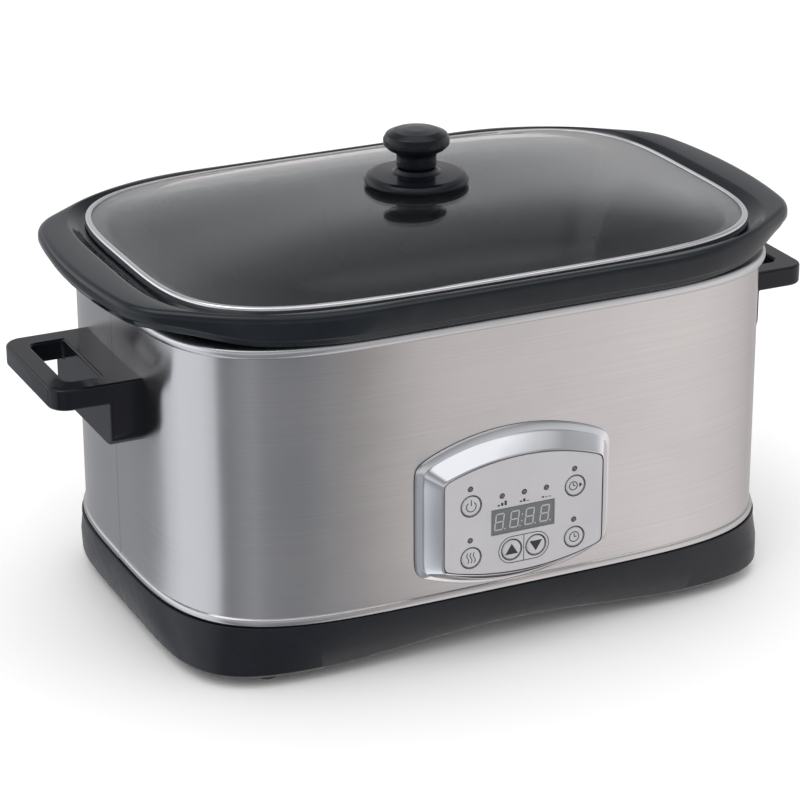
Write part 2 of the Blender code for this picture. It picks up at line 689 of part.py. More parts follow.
def lid_glass():
    edge_a, edge_b = LID_A - 1.1 * MM, LID_B - 1.1 * MM
    hole = circle(3.4 * MM)
    hub = circle(KNOB_DISC_R + 2 * MM)
    top = [ring(mouth(edge_a, edge_b), dome(1.0))]
    for share in (0.95, 0.7, 0.4):
        plan = blend(hub, mouth(edge_a, edge_b), share ** 1.1)
        top.append(ring(plan, dome(share / 0.95)))
    top += [ring(hub, GLASS_TOP), ring(hole, GLASS_TOP)]
    below = [[(x, y, z - GLASS_T + (0.3 * MM if i == 0 else 0)) for x, y, z in points]
             for i, points in enumerate(top)]
    add_mesh("lid_glass", loft(top + below[::-1], closed=True), lid_glass_clear())


def lid_band():
    """Rolled steel channel round the glass edge."""
    low, high = LID_SEAT + 0.4 * MM, LID_SEAT + 5.4 * MM
    inner_a, inner_b = LID_A - BAND_W, LID_B - BAND_W
    slot_a, slot_b = LID_A - BAND_T, LID_B - BAND_T
    rings = [
        ring(mouth(LID_A, LID_B), low + 0.5 * MM),
        ring(mouth(LID_A, LID_B), high - 0.6 * MM),
        ring(mouth(slot_a, slot_b), high),
        ring(mouth(inner_a, inner_b), high),
        ring(mouth(inner_a, inner_b), high - BAND_T),
        ring(mouth(slot_a, slot_b), high - BAND_T - 0.1 * MM),
        ring(mouth(slot_a, slot_b), low + BAND_T),
        ring(mouth(inner_a, inner_b), low + BAND_T),
        ring(mouth(inner_a, inner_b), low),
    ]
    add_mesh("lid_band", loft(rings, closed=True), bright_steel())


def knob():
    under = GLASS_TOP + GAP
    bore = 3 * MM
    base = [(bore, under), (KNOB_DISC_R - 1.5 * MM, under), (KNOB_DISC_R, under + 1.5 * MM),
            (KNOB_DISC_R, under + 3.4 * MM), (KNOB_DISC_R - 1.4 * MM, under + 5 * MM),
            (KNOB_DISC_R - 4 * MM, under + 5.6 * MM), (KNOB_STEM_R + 1.5 * MM, under + 6.4 * MM),
            (KNOB_STEM_R + 0.6 * MM, under + KNOB_DISC_H), (bore, under + KNOB_DISC_H)]
    add_mesh("knob_base", turned(base, 24, closed=True), black_gloss())
    stem_low = under + KNOB_DISC_H + GAP
    top = [(0, KNOB_BLIND), (2.8 * MM, KNOB_BLIND), (2.8 * MM, stem_low), (KNOB_STEM_R, stem_low),
           (KNOB_STEM_R, KNOB_TOP - 15 * MM), (KNOB_STEM_R + 2 * MM, KNOB_TOP - 12.6 * MM),
           (KNOB_CAP_R - 2 * MM, KNOB_TOP - 11 * MM), (KNOB_CAP_R, KNOB_TOP - 8.4 * MM),
           (KNOB_CAP_R, KNOB_TOP - 5.6 * MM), (KNOB_CAP_R - 1.8 * MM, KNOB_TOP - 2.6 * MM),
           (KNOB_CAP_R - 6 * MM, KNOB_TOP - 0.7 * MM), (0, KNOB_TOP)]
    add_mesh("knob_top", turned(top, 24), black_gloss())
    washer_top = GLASS_TOP - GLASS_T - GAP
    washer = [(3 * MM, washer_top - 2 * MM), (12 * MM, washer_top - 2 * MM), (12 * MM, washer_top),
              (3 * MM, washer_top)]
    add_mesh("knob_washer", turned(washer, 16, closed=True), soft_rubber())
    head_top = washer_top - 2 * MM - GAP
    screw = [(0, head_top - 3 * MM), (3.6 * MM, head_top - 3 * MM), (5 * MM, head_top - 1.6 * MM),
             (5 * MM, head_top), (2.4 * MM, head_top), (2.4 * MM, KNOB_BLIND - 1 * MM),
             (0, KNOB_BLIND - 1 * MM)]
    add_mesh("knob_screw", turned(screw, 16), bright_steel())


# ============================== handles ==============================

def handle(name, side):
    """Loop handle on a mounting plate that hugs the end of the body."""
    inside = 170 * MM
    reach = rounded_rectangle(inside, HANDLE_REACH, -HANDLE_HALF, HANDLE_HALF, (10 * MM, 10 * MM, 0, 0))
    obj = add_mesh(name, prism(reach, HANDLE_TOP - HANDLE_BAR, HANDLE_TOP), black_gloss())
    plate = rounded_rectangle(-HANDLE_HALF, HANDLE_HALF, HANDLE_LOW, HANDLE_TOP - 3 * MM,
                              (9 * MM, 0, 0, 9 * MM))
    wall = loft([[(x, y, z) for y, z in plate] for x in (inside, PLATE_X)])
    combine(obj, "UNION", [wall])
    grip = rounded_rectangle(PLATE_X, GRIP_OUT, -GRIP_HALF, GRIP_HALF, (5 * MM, 5 * MM, 2 * MM, 2 * MM))
    screws = [moved(along_x(rod(2.2 * MM, inside, PLATE_X - 2 * MM, 12)), 0, y, HANDLE_SCREW_Z)
              for y in (HANDLE_SCREW_Y, -HANDLE_SCREW_Y)]
    core = loft([ring(body(GAP), z) for z in (100 * MM, 180 * MM)])
    combine(obj, "DIFFERENCE", [prism(grip, 100 * MM, 180 * MM), core] + screws)
    if side < 0:
        obj.data.transform(Matrix.Rotation(math.pi, 4, "Z"))
    soften(obj, 0.8 * MM)


def handle_screws():
    head_in, head_out = WRAP_A - WRAP_T - 2.6 * MM, WRAP_A - WRAP_T - 0.5 * MM
    for end, side in ((-1, "left"), (1, "right")):
        for y, row in ((-HANDLE_SCREW_Y, "front"), (HANDLE_SCREW_Y, "rear")):
            profile = [(0, head_in), (4.4 * MM, head_in), (4.4 * MM, head_out), (1.8 * MM, head_out),
                       (1.8 * MM, PLATE_X - 4 * MM), (0, PLATE_X - 3 * MM)]
            screw = along_x(turned(profile, 12), end)
            add_mesh(f"handle_screw_{side}_{row}", moved(screw, 0, y, HANDLE_SCREW_Z), zinc_steel())


# ============================== control panel ==============================

def barrel(shape):
    """Radius about the panel's middle of straight sides closed by two arcs, corners rounded."""
    half, side_low, side_high, low, high = (v * MM for v in shape[:5])
    corner = shape[5]

    def arc_radius(bearing):
        up = math.sin(bearing) >= 0
        apex, shoulder = (high, side_high) if up else (2 * PANEL_MID_Z - low, 2 * PANEL_MID_Z - side_low)
        sagitta = apex - shoulder
        r = (half ** 2 + sagitta ** 2) / (2 * sagitta)
        k = PANEL_MID_Z - (apex - r)
        s = abs(math.sin(bearing))
        return -s * k + math.sqrt(s * s * k * k - k * k + r * r)

    def radius(bearing):
        straight = half / max(abs(math.cos(bearing)), 1e-6)
        return (straight ** -corner + arc_radius(bearing) ** -corner) ** (-1 / corner)
    return radius


def panel_bearings():
    """Bearings that space the outline's points evenly, with one on each corner."""
    dense = [2 * math.pi * i / 720 for i in range(720)]
    outline = barrel(BEZEL_EDGE)
    points = [Vector((outline(b) * math.cos(b), outline(b) * math.sin(b))) for b in dense + [0.0]]
    run = np.concatenate([[0.0], np.cumsum([(q - p).length for p, q in zip(points, points[1:])])])
    wanted = np.linspace(0, run[-1], PANEL_SIDES, endpoint=False)
    found = [float(b) for b in np.interp(wanted, run, dense + [2 * math.pi])]
    half, side_low, side_high = (v * MM for v in FACE_OUTLINE[:3])
    for x, z in ((half, side_high), (-half, side_high), (-half, side_low), (half, side_low)):
        corner = math.atan2(z - PANEL_MID_Z, x) % (2 * math.pi)
        nearest = min(range(PANEL_SIDES), key=lambda i: abs(found[i] - corner))
        found[nearest] = corner
    return found


PANEL_BEARINGS = panel_bearings()


def panel_ring(shape, y, offset=0.0):
    outline = barrel(shape)
    points = []
    for b in PANEL_BEARINGS:
        r = outline(b) + offset
        points.append((PANEL_X + r * math.cos(b), y, PANEL_MID_Z + r * math.sin(b)))
    return points


def barrel_prism(shape, low, high):
    return loft([panel_ring(shape, low), panel_ring(shape, high)])


def bezel():
    wall = -WRAP_B - 0.4 * MM
    opening = 0.35 * MM
    rings = [
        panel_ring(BEZEL_WALL, wall),
        panel_ring(BEZEL_WALL, wall - 1.4 * MM, -0.8 * MM),
        panel_ring(BEZEL_EDGE, wall - 3.6 * MM),
        panel_ring(BEZEL_EDGE, wall - 4.4 * MM, -0.8 * MM),
        panel_ring(BEZEL_INNER, FACE_Y + 0.4 * MM, 0.2 * MM),
        panel_ring(FACE_OUTLINE, FACE_Y - 0.1 * MM, opening),
        panel_ring(FACE_OUTLINE, FACE_Y + 4.2 * MM, opening),
        panel_ring(BEZEL_EDGE, wall - 2.4 * MM, -3.4 * MM),
        panel_ring(BEZEL_WALL, wall, -4 * MM),
    ]
    add_mesh("panel_bezel", loft(rings, closed=True), chrome(), 20)


def place(offset):
    """World x of an offset from the panel's middle, and z, both given in millimetres."""
    return PANEL_X + offset[0] * MM, offset[1] * MM


def faceplate():
    obj = add_mesh("faceplate", barrel_prism(FACE_OUTLINE, FACE_Y, FACE_Y + FACE_T), silver_plastic())
    tools = []
    for spot in KEYS.values():
        x, z = place(spot)
        tools.append(moved(along_y(rod(KEY_R + KEY_GAP, -5 * MM, 5 * MM, 20)), x, FACE_Y, z))
    for spot in LAMPS.values():
        x, z = place(spot)
        tools.append(moved(along_y(rod(LAMP_R + GAP, -5 * MM, 5 * MM, 10)), x, FACE_Y, z))
    x0, x1, z0, z1 = WINDOW
    tools.append(box((PANEL_X + x0 * MM - GAP, FACE_Y - 5 * MM, z0 * MM - GAP),
                     (PANEL_X + x1 * MM + GAP, FACE_Y + 5 * MM, z1 * MM + GAP)))
    combine(obj, "DIFFERENCE", tools)


def key(name, spot):
    """Cap, retaining collar and plunger; the origin is on the key's own axis."""
    x, z = place(spot)
    back = FACE_T + GAP
    profile = [(0, 0), (KEY_R - 0.3 * MM, 0), (KEY_R, 0.3 * MM), (KEY_R, back), (7 * MM, back),
               (7 * MM, back + 0.8 * MM), (2 * MM, back + 0.8 * MM), (2 * MM, 6.4 * MM), (0, 6.4 * MM)]
    obj = add_mesh(name, along_y(turned(profile, 20)), silver_plastic())
    obj.location = (x, FACE_Y, z)


def lamp(name, spot):
    x, z = place(spot)
    profile = [(0, 0), (LAMP_R - 0.4 * MM, 0), (LAMP_R, 0.4 * MM), (LAMP_R, 7.9 * MM), (0, 7.9 * MM)]
    obj = add_mesh(name, along_y(turned(profile, 10)), lamp_plastic())
    obj.location = (x, FACE_Y, z)


def display():
    x0, x1, z0, z1 = (v * MM for v in WINDOW)
    lens = box((PANEL_X + x0, FACE_Y, z0), (PANEL_X + x1, FACE_Y + FACE_T, z1))
    add_mesh("display_lens", lens, display_window())
    module = box((PANEL_X + x0 - 1 * MM, FACE_Y + FACE_T + GAP, z0 + GAP + 0.3 * MM),
                 (PANEL_X + x1 + 1 * MM, BOARD_FRONT - GAP, z1))
    add_mesh("display_module", module, component_black())


def control_board():
    """Board behind the faceplate with one push switch under each key."""
    low, high = BOARD_FRONT, BOARD_FRONT + BOARD_T
    board_half, board_low, board_high = 43 * MM, 60 * MM, 111 * MM
    board = box((PANEL_X - board_half, low, board_low), (PANEL_X + board_half, high, board_high))
    obj = add_mesh("control_board", board, circuit_green())
    switches = []
    half = 3 * MM
    for spot in KEYS.values():
        x, z = place(spot)
        switches.append(box((x - half, low - 1.2 * MM, z - half), (x + half, low + 0.5 * MM, z + half)))
    combine(obj, "UNION", switches)


def panel_frame():
    """Clamping ring behind the steel, with posts that carry the control board."""
    front, back = -WRAP_B + WRAP_T + 0.6 * MM, -WRAP_B + WRAP_T + 2.6 * MM
    rings = [panel_ring(PANEL_HOLE, front, 5 * MM), panel_ring(PANEL_HOLE, front, -5 * MM),
             panel_ring(PANEL_HOLE, back, -5 * MM), panel_ring(PANEL_HOLE, back, 5 * MM)]
    obj = add_mesh("panel_frame", loft(rings, closed=True), black_matte())
    tie = back - 0.8 * MM
    posts = []
    for sx in (1, -1):
        x = PANEL_X + sx * 39 * MM
        posts.append(box((x - 4 * MM, tie, 58 * MM), (x + 4 * MM, back, 118 * MM)))
        posts += [moved(along_y(rod(2.5 * MM, BOARD_FRONT + BOARD_T + GAP, back, 12)), x, 0, z)
                  for z in (70 * MM, 102 * MM)]
    combine(obj, "UNION", posts)


# ============================== electronics in the base ==============================

def boards():
    top = POWER_DECK + BOARD_T + GAP
    board = box((-106 * MM, -44 * MM, POWER_DECK), (-16 * MM, 44 * MM, POWER_DECK + BOARD_T))
    add_mesh("power_board", board, circuit_green())
    relay = box((-95 * MM, -34 * MM, top), (-76 * MM, -18 * MM, top + 16 * MM))
    add_mesh("relay", relay, component_black())
    transformer = box((-60 * MM, -20 * MM, top), (-28 * MM, 8 * MM, top + 24 * MM))
    add_mesh("transformer", transformer, component_black())
    terminals = box((-50 * MM, 24 * MM, top), (-26 * MM, 36 * MM, top + 12 * MM))
    add_mesh("terminal_block", terminals, white_ceramic())


def ribbon():
    """Flat lead from the control board down to the power board."""
    x, half, thick = -30 * MM, 6 * MM, 0.9 * MM
    start_y = (BOARD_FRONT + BOARD_T + GAP) / MM
    path = [(start_y, 84), (-126, 83.4), (-121, 80), (-119.4, 74), (-119, 48),
            (-116, 36), (-108, 28), (-96, 25.8), (-60, 25.2), (-46, 25.2)]
    line = [Vector((y * MM, z * MM)) for y, z in path]
    rings = []
    for i, p in enumerate(line):
        way = (line[min(i + 1, len(line) - 1)] - line[max(i - 1, 0)]).normalized()
        side = Vector((-way.y, way.x)) * thick / 2
        a, b = p + side, p - side
        rings.append([(x - half, a.x, a.y), (x + half, a.x, a.y), (x + half, b.x, b.y), (x - half, b.x, b.y)])
    add_mesh("ribbon_cable", loft(rings), cable_grey())


def gland():
    """Rubber bush in the rear wall that the mains lead leaves through."""
    wall_in, wall_out = WRAP_B - WRAP_T, WRAP_B
    bore = 3.2 * MM
    profile = [(bore, wall_in - 3 * MM), (8 * MM, wall_in - 3 * MM), (8 * MM, wall_in - 0.9 * MM),
               (6 * MM, wall_in - 0.9 * MM), (6 * MM, wall_out + 0.4 * MM), (9 * MM, wall_out + 0.4 * MM),
               (9 * MM, wall_out + 2 * MM), (6.4 * MM, wall_out + 2.6 * MM), (4.8 * MM, GLAND_END),
               (bore, GLAND_END)]
    obj = add_mesh("cable_gland", along_y(turned(profile, 16, closed=True)), soft_rubber())
    obj.location = (GLAND_X, 0, GLAND_Z)


def main():
    clear_scene()
    base_moulding()
    bottom_cover()
    feet()
    cover_screws()
    wraps()
    liner()
    heating()
    thermal_parts()
    tie_rod()
    crock()
    lid_glass()
    lid_band()
    knob()
    handle("handle_left", -1)
    handle("handle_right", 1)
    handle_screws()
    bezel()
    faceplate()
    for name, spot in KEYS.items():
        key(name, spot)
    for name, spot in LAMPS.items():
        lamp(name, spot)
    display()
    control_board()
    panel_frame()
    boards()
    ribbon()
    gland()


main()
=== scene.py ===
"""Looks of the slow cooker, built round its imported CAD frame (metres, +Z up, panel facing -Y)."""

import math

import bmesh
import bpy
import numpy as np
from mathutils import Matrix, Vector

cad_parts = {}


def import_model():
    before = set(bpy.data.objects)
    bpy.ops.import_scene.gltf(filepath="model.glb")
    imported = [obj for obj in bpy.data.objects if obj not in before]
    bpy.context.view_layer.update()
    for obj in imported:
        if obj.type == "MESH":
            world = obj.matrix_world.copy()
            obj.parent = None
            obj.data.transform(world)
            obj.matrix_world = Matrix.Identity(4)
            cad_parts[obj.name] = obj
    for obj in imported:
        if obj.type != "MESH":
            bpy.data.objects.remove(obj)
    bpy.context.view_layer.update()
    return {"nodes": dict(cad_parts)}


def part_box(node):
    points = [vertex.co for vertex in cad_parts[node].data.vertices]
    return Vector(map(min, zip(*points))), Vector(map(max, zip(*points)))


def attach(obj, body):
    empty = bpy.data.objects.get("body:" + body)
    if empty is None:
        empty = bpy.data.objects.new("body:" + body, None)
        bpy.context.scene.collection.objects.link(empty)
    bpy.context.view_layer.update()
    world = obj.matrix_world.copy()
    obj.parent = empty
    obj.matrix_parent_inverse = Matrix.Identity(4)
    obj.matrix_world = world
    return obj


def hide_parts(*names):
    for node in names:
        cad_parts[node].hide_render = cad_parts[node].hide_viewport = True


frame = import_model()

MM = 0.001
SIDES = 192                         # points round every plan outline
BODY_N, BODY_M = 5.2, 3.5           # squareness of the steel body
LID_N, LID_M = 4.2, 3.9             # squareness of the lid and of the crock's mouth
FOOTPRINT_N, FOOTPRINT_M = 7.5, 5.0  # squareness of the base's bottom edge

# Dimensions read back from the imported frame
WRAP_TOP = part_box("wrap_front")[1].z
BASE_A, BASE_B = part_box("base_moulding")[1].x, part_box("base_moulding")[1].y
BASE_TOP, FOOT_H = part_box("base_moulding")[1].z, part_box("base_moulding")[0].z
ROLL_A, RIM_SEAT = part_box("liner")[1].x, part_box("liner")[1].z
FLANGE_A, FLANGE_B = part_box("crock")[1].x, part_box("crock")[1].y
CROCK_BOTTOM, RIM_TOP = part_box("crock")[0].z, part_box("crock")[1].z
LID_A, LID_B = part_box("lid_band")[1].x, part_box("lid_band")[1].y
LID_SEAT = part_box("lid_band")[0].z - 0.4 * MM
GLASS_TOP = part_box("lid_glass")[1].z
KNOB_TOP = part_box("knob_top")[1].z
KNOB_CAP_R, KNOB_DISC_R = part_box("knob_top")[1].x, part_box("knob_base")[1].x
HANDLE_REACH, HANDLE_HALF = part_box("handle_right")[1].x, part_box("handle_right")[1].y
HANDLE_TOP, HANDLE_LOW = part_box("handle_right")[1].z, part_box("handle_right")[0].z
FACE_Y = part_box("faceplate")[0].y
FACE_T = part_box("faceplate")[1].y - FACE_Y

# Outlines that the frame's boxes don't give
WRAP_A, WRAP_B, WRAP_T = ROLL_A - 3 * MM, BASE_B - 1.4 * MM, 0.8 * MM
BEAD = 1.6 * MM
SEAM = 0.15 * MM
ARCH_H, ARCH_SPAN, ARCH_Y = 6.5 * MM, 130 * MM, 100.5 * MM
BOW_R, BOW_Y = 350 * MM, 66 * MM
FLANGE_END_Y, FLANGE_END_R = 79 * MM, 42 * MM
FLANGE_SIDE_X, FLANGE_SIDE_R = 134.9 * MM, 138 * MM
WING_LIFT = 6.4 * MM
CROCK_FLOOR = 77.5 * MM
GLASS_T = 3.4 * MM
HANDLE_BAR, PLATE_X = 12 * MM, 205 * MM
GRIP_OUT, GRIP_HALF = 225 * MM, 31 * MM
PANEL_MID_Z = 88 * MM
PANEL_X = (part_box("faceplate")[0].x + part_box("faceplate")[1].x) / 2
BEZEL_WALL = (60.2, 55, 120, 42, 135, 24)
BEZEL_EDGE = (57.0, 57, 118, 45, 131, 24)
BEZEL_INNER = (49.6, 60.3, 113.8, 52.5, 123.1, 40)
FACE_OUTLINE = (48.8, 61, 113, 53.3, 122.3, 40)
PANEL_HOLE = (50.0, 62, 112, 54, 122, 16)
KEY_R, KEY_GAP = 5.7 * MM, 0.4 * MM
LAMP_R = 1.4 * MM
KEYS = ("key_start", "key_heat", "key_delay", "key_time", "key_up", "key_down")
LAMPS = ("lamp_start", "lamp_heat", "lamp_delay", "lamp_time", "lamp_left", "lamp_middle", "lamp_right")
PRINT_T = 0.06 * MM                 # thickness of the printed marks


# ============================== material nodes ==============================

class Shader:
    """A material's node tree, with short calls for the nodes that the looks share."""

    def __init__(self, name, colour, roughness, metallic=0.0, **sockets):
        self.material = bpy.data.materials.new(name)
        self.material.use_nodes = True
        self.tree = self.material.node_tree
        self.bsdf = self.tree.nodes["Principled BSDF"]
        self.bsdf.inputs["Base Color"].default_value = (*colour, 1)
        self.bsdf.inputs["Roughness"].default_value = roughness
        self.bsdf.inputs["Metallic"].default_value = metallic
        for socket, value in sockets.items():
            self.bsdf.inputs[socket.replace("_", " ")].default_value = value
        self.material.diffuse_color = (*colour, 1)
        self.bumped = None

    def node(self, kind, **settings):
        made = self.tree.nodes.new(kind)
        for key, value in settings.items():
            setattr(made, key, value)
        return made

    def link(self, out, into):
        self.tree.links.new(out, into)

    def place(self, scale=(1, 1, 1)):
        """Object coordinates, stretched per axis."""
        where = self.node("ShaderNodeTexCoord")
        mapping = self.node("ShaderNodeMapping")
        mapping.inputs["Scale"].default_value = scale
        self.link(where.outputs["Object"], mapping.inputs["Vector"])
        return mapping.outputs["Vector"]

    def noise(self, scale, stretch=(1, 1, 1), detail=3.0, roughness=0.55):
        made = self.node("ShaderNodeTexNoise")
        made.inputs["Scale"].default_value = scale
        made.inputs["Detail"].default_value = detail
        made.inputs["Roughness"].default_value = roughness
        self.link(self.place(stretch), made.inputs["Vector"])
        return made.outputs["Fac"]

    def ramp(self, factor, stops):
        return colour_ramp(self.tree, factor, stops)

    def span(self, factor, low, high):
        made = self.node("ShaderNodeMapRange")
        made.inputs["From Min"].default_value = 0.3
        made.inputs["From Max"].default_value = 0.7
        made.inputs["To Min"].default_value = low
        made.inputs["To Max"].default_value = high
        self.link(factor, made.inputs["Value"])
        return made.outputs["Result"]

    def colour(self, output):
        self.link(output, self.bsdf.inputs["Base Color"])

    def rough(self, output):
        self.link(output, self.bsdf.inputs["Roughness"])

    def bump(self, height, depth, strength=1.0):
        """Add one layer of bump; layers stack in the order they are given."""
        made = self.node("ShaderNodeBump")
        made.inputs["Strength"].default_value = strength
        made.inputs["Distance"].default_value = depth
        self.link(height, made.inputs["Height"])
        if self.bumped:
            self.link(self.bumped, made.inputs["Normal"])
        self.bumped = made.outputs["Normal"]
        self.link(self.bumped, self.bsdf.inputs["Normal"])


def colour_ramp(tree, factor, stops):
    """Colour ramp through (position, colour) stops."""
    made = tree.nodes.new("ShaderNodeValToRGB")
    elements = made.color_ramp.elements
    while len(elements) < len(stops):
        elements.new(0.5)
    for element, (at, colour) in zip(elements, stops):
        element.position = at
        element.color = (*colour, 1)
    tree.links.new(factor, made.inputs["Fac"])
    return made.outputs["Color"]


def tones(colour, share):
    """The same colour a little darker and a little lighter."""
    return tuple(c * (1 - share) for c in colour), tuple(min(c * (1 + share), 1) for c in colour)


def plain(name, colour, roughness, metallic=0.0, grain=900, depth=0.02 * MM, spread=0.08, vary=0.12,
          **sockets):
    """Moulded or cast finish: soft colour variation, uneven gloss and a fine surface grain."""
    look = Shader(name, colour, roughness, metallic, **sockets)
    dark, light = tones(colour, vary)
    look.colour(look.ramp(look.noise(35, detail=4), [(0.3, dark), (0.7, light)]))
    look.rough(look.span(look.noise(120, detail=5), roughness - spread / 2, roughness + spread / 2))
    look.bump(look.noise(grain, detail=2), depth, 0.5)
    return look.material


def brushed(name, colour, roughness, stretch, depth, anisotropy, turn):
    """Steel brushed along one direction; stretch is small along the grain and large across it."""
    look = Shader(name, colour, roughness, 1.0, Anisotropic=anisotropy, Anisotropic_Rotation=turn)
    dark, light = tones(colour, 0.05)
    lines = look.noise(1.0, stretch, detail=4, roughness=0.6)
    look.colour(look.ramp(lines, [(0.25, dark), (0.75, light)]))
    smudges = look.noise(14, (1, 1, 1.6), detail=3)
    look.rough(look.span(smudges, roughness - 0.05, roughness + 0.05))
    look.bump(lines, depth, 0.4)
    return look.material


def glazed(name):
    """Dark stoneware glaze: faint colour drift and orange-peel in a glossy surface."""
    dark, light = (0.006, 0.008, 0.011), (0.009, 0.012, 0.015)
    look = Shader(name, (0.008, 0.010, 0.013), 0.11, IOR=1.38)
    look.colour(look.ramp(look.noise(60, detail=4), [(0.3, dark), (0.7, light)]))
    look.rough(look.span(look.noise(40, detail=4), 0.08, 0.15))
    look.bump(look.noise(90, detail=2), 0.03 * MM, 0.3)
    look.bump(look.noise(900, detail=1), 0.006 * MM, 0.3)
    return look.material


def glass(name):
    """Clear glass with a very slight waviness."""
    look = Shader(name, (0.93, 0.96, 0.95), 0.02, Transmission_Weight=1.0, IOR=1.47)
    look.rough(look.span(look.noise(22, detail=4), 0.01, 0.04))
    look.bump(look.noise(18, detail=1), 0.12 * MM, 0.2)
    return look.material


def woven(name, colour, pitch):
    """Glass-wool blanket or coated belt with a crossing weave."""
    look = Shader(name, colour, 0.9)
    dark, light = tones(colour, 0.25)
    bands = look.node("ShaderNodeTexWave", wave_type="BANDS", bands_direction="DIAGONAL")
    bands.inputs["Scale"].default_value = 1 / pitch
    bands.inputs["Distortion"].default_value = 3.0
    look.link(look.place(), bands.inputs["Vector"])
    look.colour(look.ramp(bands.outputs["Fac"], [(0.2, dark), (0.8, light)]))
    look.rough(look.span(look.noise(300), 0.8, 0.98))
    look.bump(bands.outputs["Fac"], 0.2 * MM, 0.6)
    return look.material


def board_green(name):
    """Circuit board: solder mask over faint copper tracks."""
    look = Shader(name, (0.02, 0.13, 0.05), 0.4)
    tracks = look.node("ShaderNodeTexBrick")
    tracks.inputs["Scale"].default_value = 160
    tracks.inputs["Color1"].default_value = (0.018, 0.11, 0.045, 1)
    tracks.inputs["Color2"].default_value = (0.022, 0.15, 0.06, 1)
    tracks.inputs["Mortar"].default_value = (0.05, 0.22, 0.09, 1)
    tracks.inputs["Mortar Size"].default_value = 0.03
    look.link(look.place(), tracks.inputs["Vector"])
    look.colour(tracks.outputs["Color"])
    look.rough(look.span(look.noise(200), 0.32, 0.5))
    look.bump(tracks.outputs["Fac"], 0.03 * MM, 0.5)
    return look.material


def make_looks():
    """Every finish, keyed by the record's slot names plus the two printed inks."""
    grain = (11, 11, 3000)              # brushed along the outline, so fine only in height
    coarse, sheet = (6, 6, 900), (14, 14, 500)
    return {
        "black_glaze": glazed("black_glaze_fine"),
        "brushed_steel": brushed("brushed_steel_fine", (0.62, 0.61, 0.61), 0.23, grain, 0.004 * MM,
                                 0.85, 0.25),
        "bright_steel": brushed("bright_steel_fine", (0.78, 0.78, 0.79), 0.20, coarse, 0.01 * MM, 0.3, 0.0),
        "chrome_trim": plain("chrome_fine", (0.88, 0.89, 0.91), 0.07, 1.0, grain=300, depth=0.01 * MM,
                             spread=0.04, vary=0.02),
        "black_gloss_plastic": plain("black_gloss_fine", (0.005, 0.006, 0.009), 0.12, grain=1100,
                                     depth=0.006 * MM, spread=0.08, IOR=1.36),
        "black_matte_plastic": plain("black_matte_fine", (0.008, 0.010, 0.014), 0.3, grain=1500,
                                     depth=0.02 * MM, spread=0.1, IOR=1.38),
        "silver_plastic": plain("silver_plastic_fine", (0.51, 0.505, 0.525), 0.38, 0.35, grain=2200,
                                depth=0.008 * MM, spread=0.08, vary=0.03),
        "clear_glass": glass("lid_glass_fine"),
        "display_window": plain("display_window_fine", (0.115, 0.125, 0.14), 0.16, grain=500,
                                depth=0.006 * MM, vary=0.05, IOR=1.4),
        "lamp_plastic": plain("lamp_plastic_fine", (0.10, 0.075, 0.07), 0.22, grain=900, vary=0.1,
                              Coat_Weight=0.5),
        "aluminised_sheet": brushed("aluminised_fine", (0.66, 0.67, 0.68), 0.3, sheet, 0.015 * MM,
                                    0.4, 0.0),
        "zinc_steel": plain("zinc_fine", (0.55, 0.56, 0.54), 0.33, 1.0, grain=700, vary=0.15),
        "mica_belt": woven("mica_fine", (0.40, 0.28, 0.17), 4 * MM),
        "glass_wool": woven("glass_wool_fine", (0.74, 0.71, 0.62), 6 * MM),
        "circuit_board": board_green("board_fine"),
        "component_black": plain("component_fine", (0.03, 0.03, 0.032), 0.5, grain=1300, depth=0.04 * MM),
        "soft_rubber": plain("rubber_fine", (0.022, 0.022, 0.023), 0.75, grain=1200, depth=0.06 * MM),
        "white_ceramic": plain("ceramic_fine", (0.78, 0.76, 0.72), 0.45, grain=600, vary=0.05),
        "cable_grey": plain("cable_fine", (0.33, 0.33, 0.35), 0.55, grain=800, vary=0.12),
        "ink_dark": plain("ink_dark", (0.022, 0.022, 0.026), 0.5, grain=1600, depth=0.004 * MM, vary=0.1),
        "ink_pale": plain("ink_pale", (0.40, 0.385, 0.33), 0.45, grain=1600, depth=0.004 * MM, vary=0.05),
    }


LOOKS = make_looks()


# ============================== mesh helpers ==============================

def shade(obj, width=0.0, segments=3, angle=30):
    """Smooth shading, with the sharp edges rounded to the given width."""
    obj.data.shade_smooth()
    if width:
        bevel = obj.modifiers.new("edges", "BEVEL")
        bevel.width = width
        bevel.segments = segments
        bevel.limit_method = "ANGLE"
        bevel.angle_limit = math.radians(angle)
        bevel.harden_normals = True
    else:
        obj.data.set_sharp_from_angle(angle=math.radians(angle))


def add(name, bm, slot, look=None):
    """Turn a bmesh into a named object with its finish."""
    bmesh.ops.remove_doubles(bm, verts=bm.verts, dist=1e-7)
    bmesh.ops.recalc_face_normals(bm, faces=bm.faces)
    mesh = bpy.data.meshes.new(name)
    bm.to_mesh(mesh)
    bm.free()
    obj = bpy.data.objects.new(name, mesh)
    bpy.context.scene.collection.objects.link(obj)
    mesh.materials.append(LOOKS[look or slot])
    return obj


def stands_for(obj, body, *nodes):
    """Let a finer piece move with its body and take the place of CAD nodes."""
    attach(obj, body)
    if nodes:
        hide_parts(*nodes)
    return obj


def superellipse(a, b, n, m):
    """Radius of |x/a|^n + |y/b|^m = 1 as a function of the bearing."""
    def radius(bearing):
        c, s = abs(math.cos(bearing)), abs(math.sin(bearing))
        low, high = 0.0, 2 * (a + b)
        for _ in range(44):
            mid = (low + high) / 2
            inside = (mid * c / a) ** n + (mid * s / b) ** m < 1
            low, high = (mid, high) if inside else (low, mid)
        return low
    return radius


def body(offset=0.0, a=WRAP_A, b=WRAP_B):
    return superellipse(a + offset, b + offset, BODY_N, BODY_M)


def mouth(a, b):
    return superellipse(a, b, LID_N, LID_M)


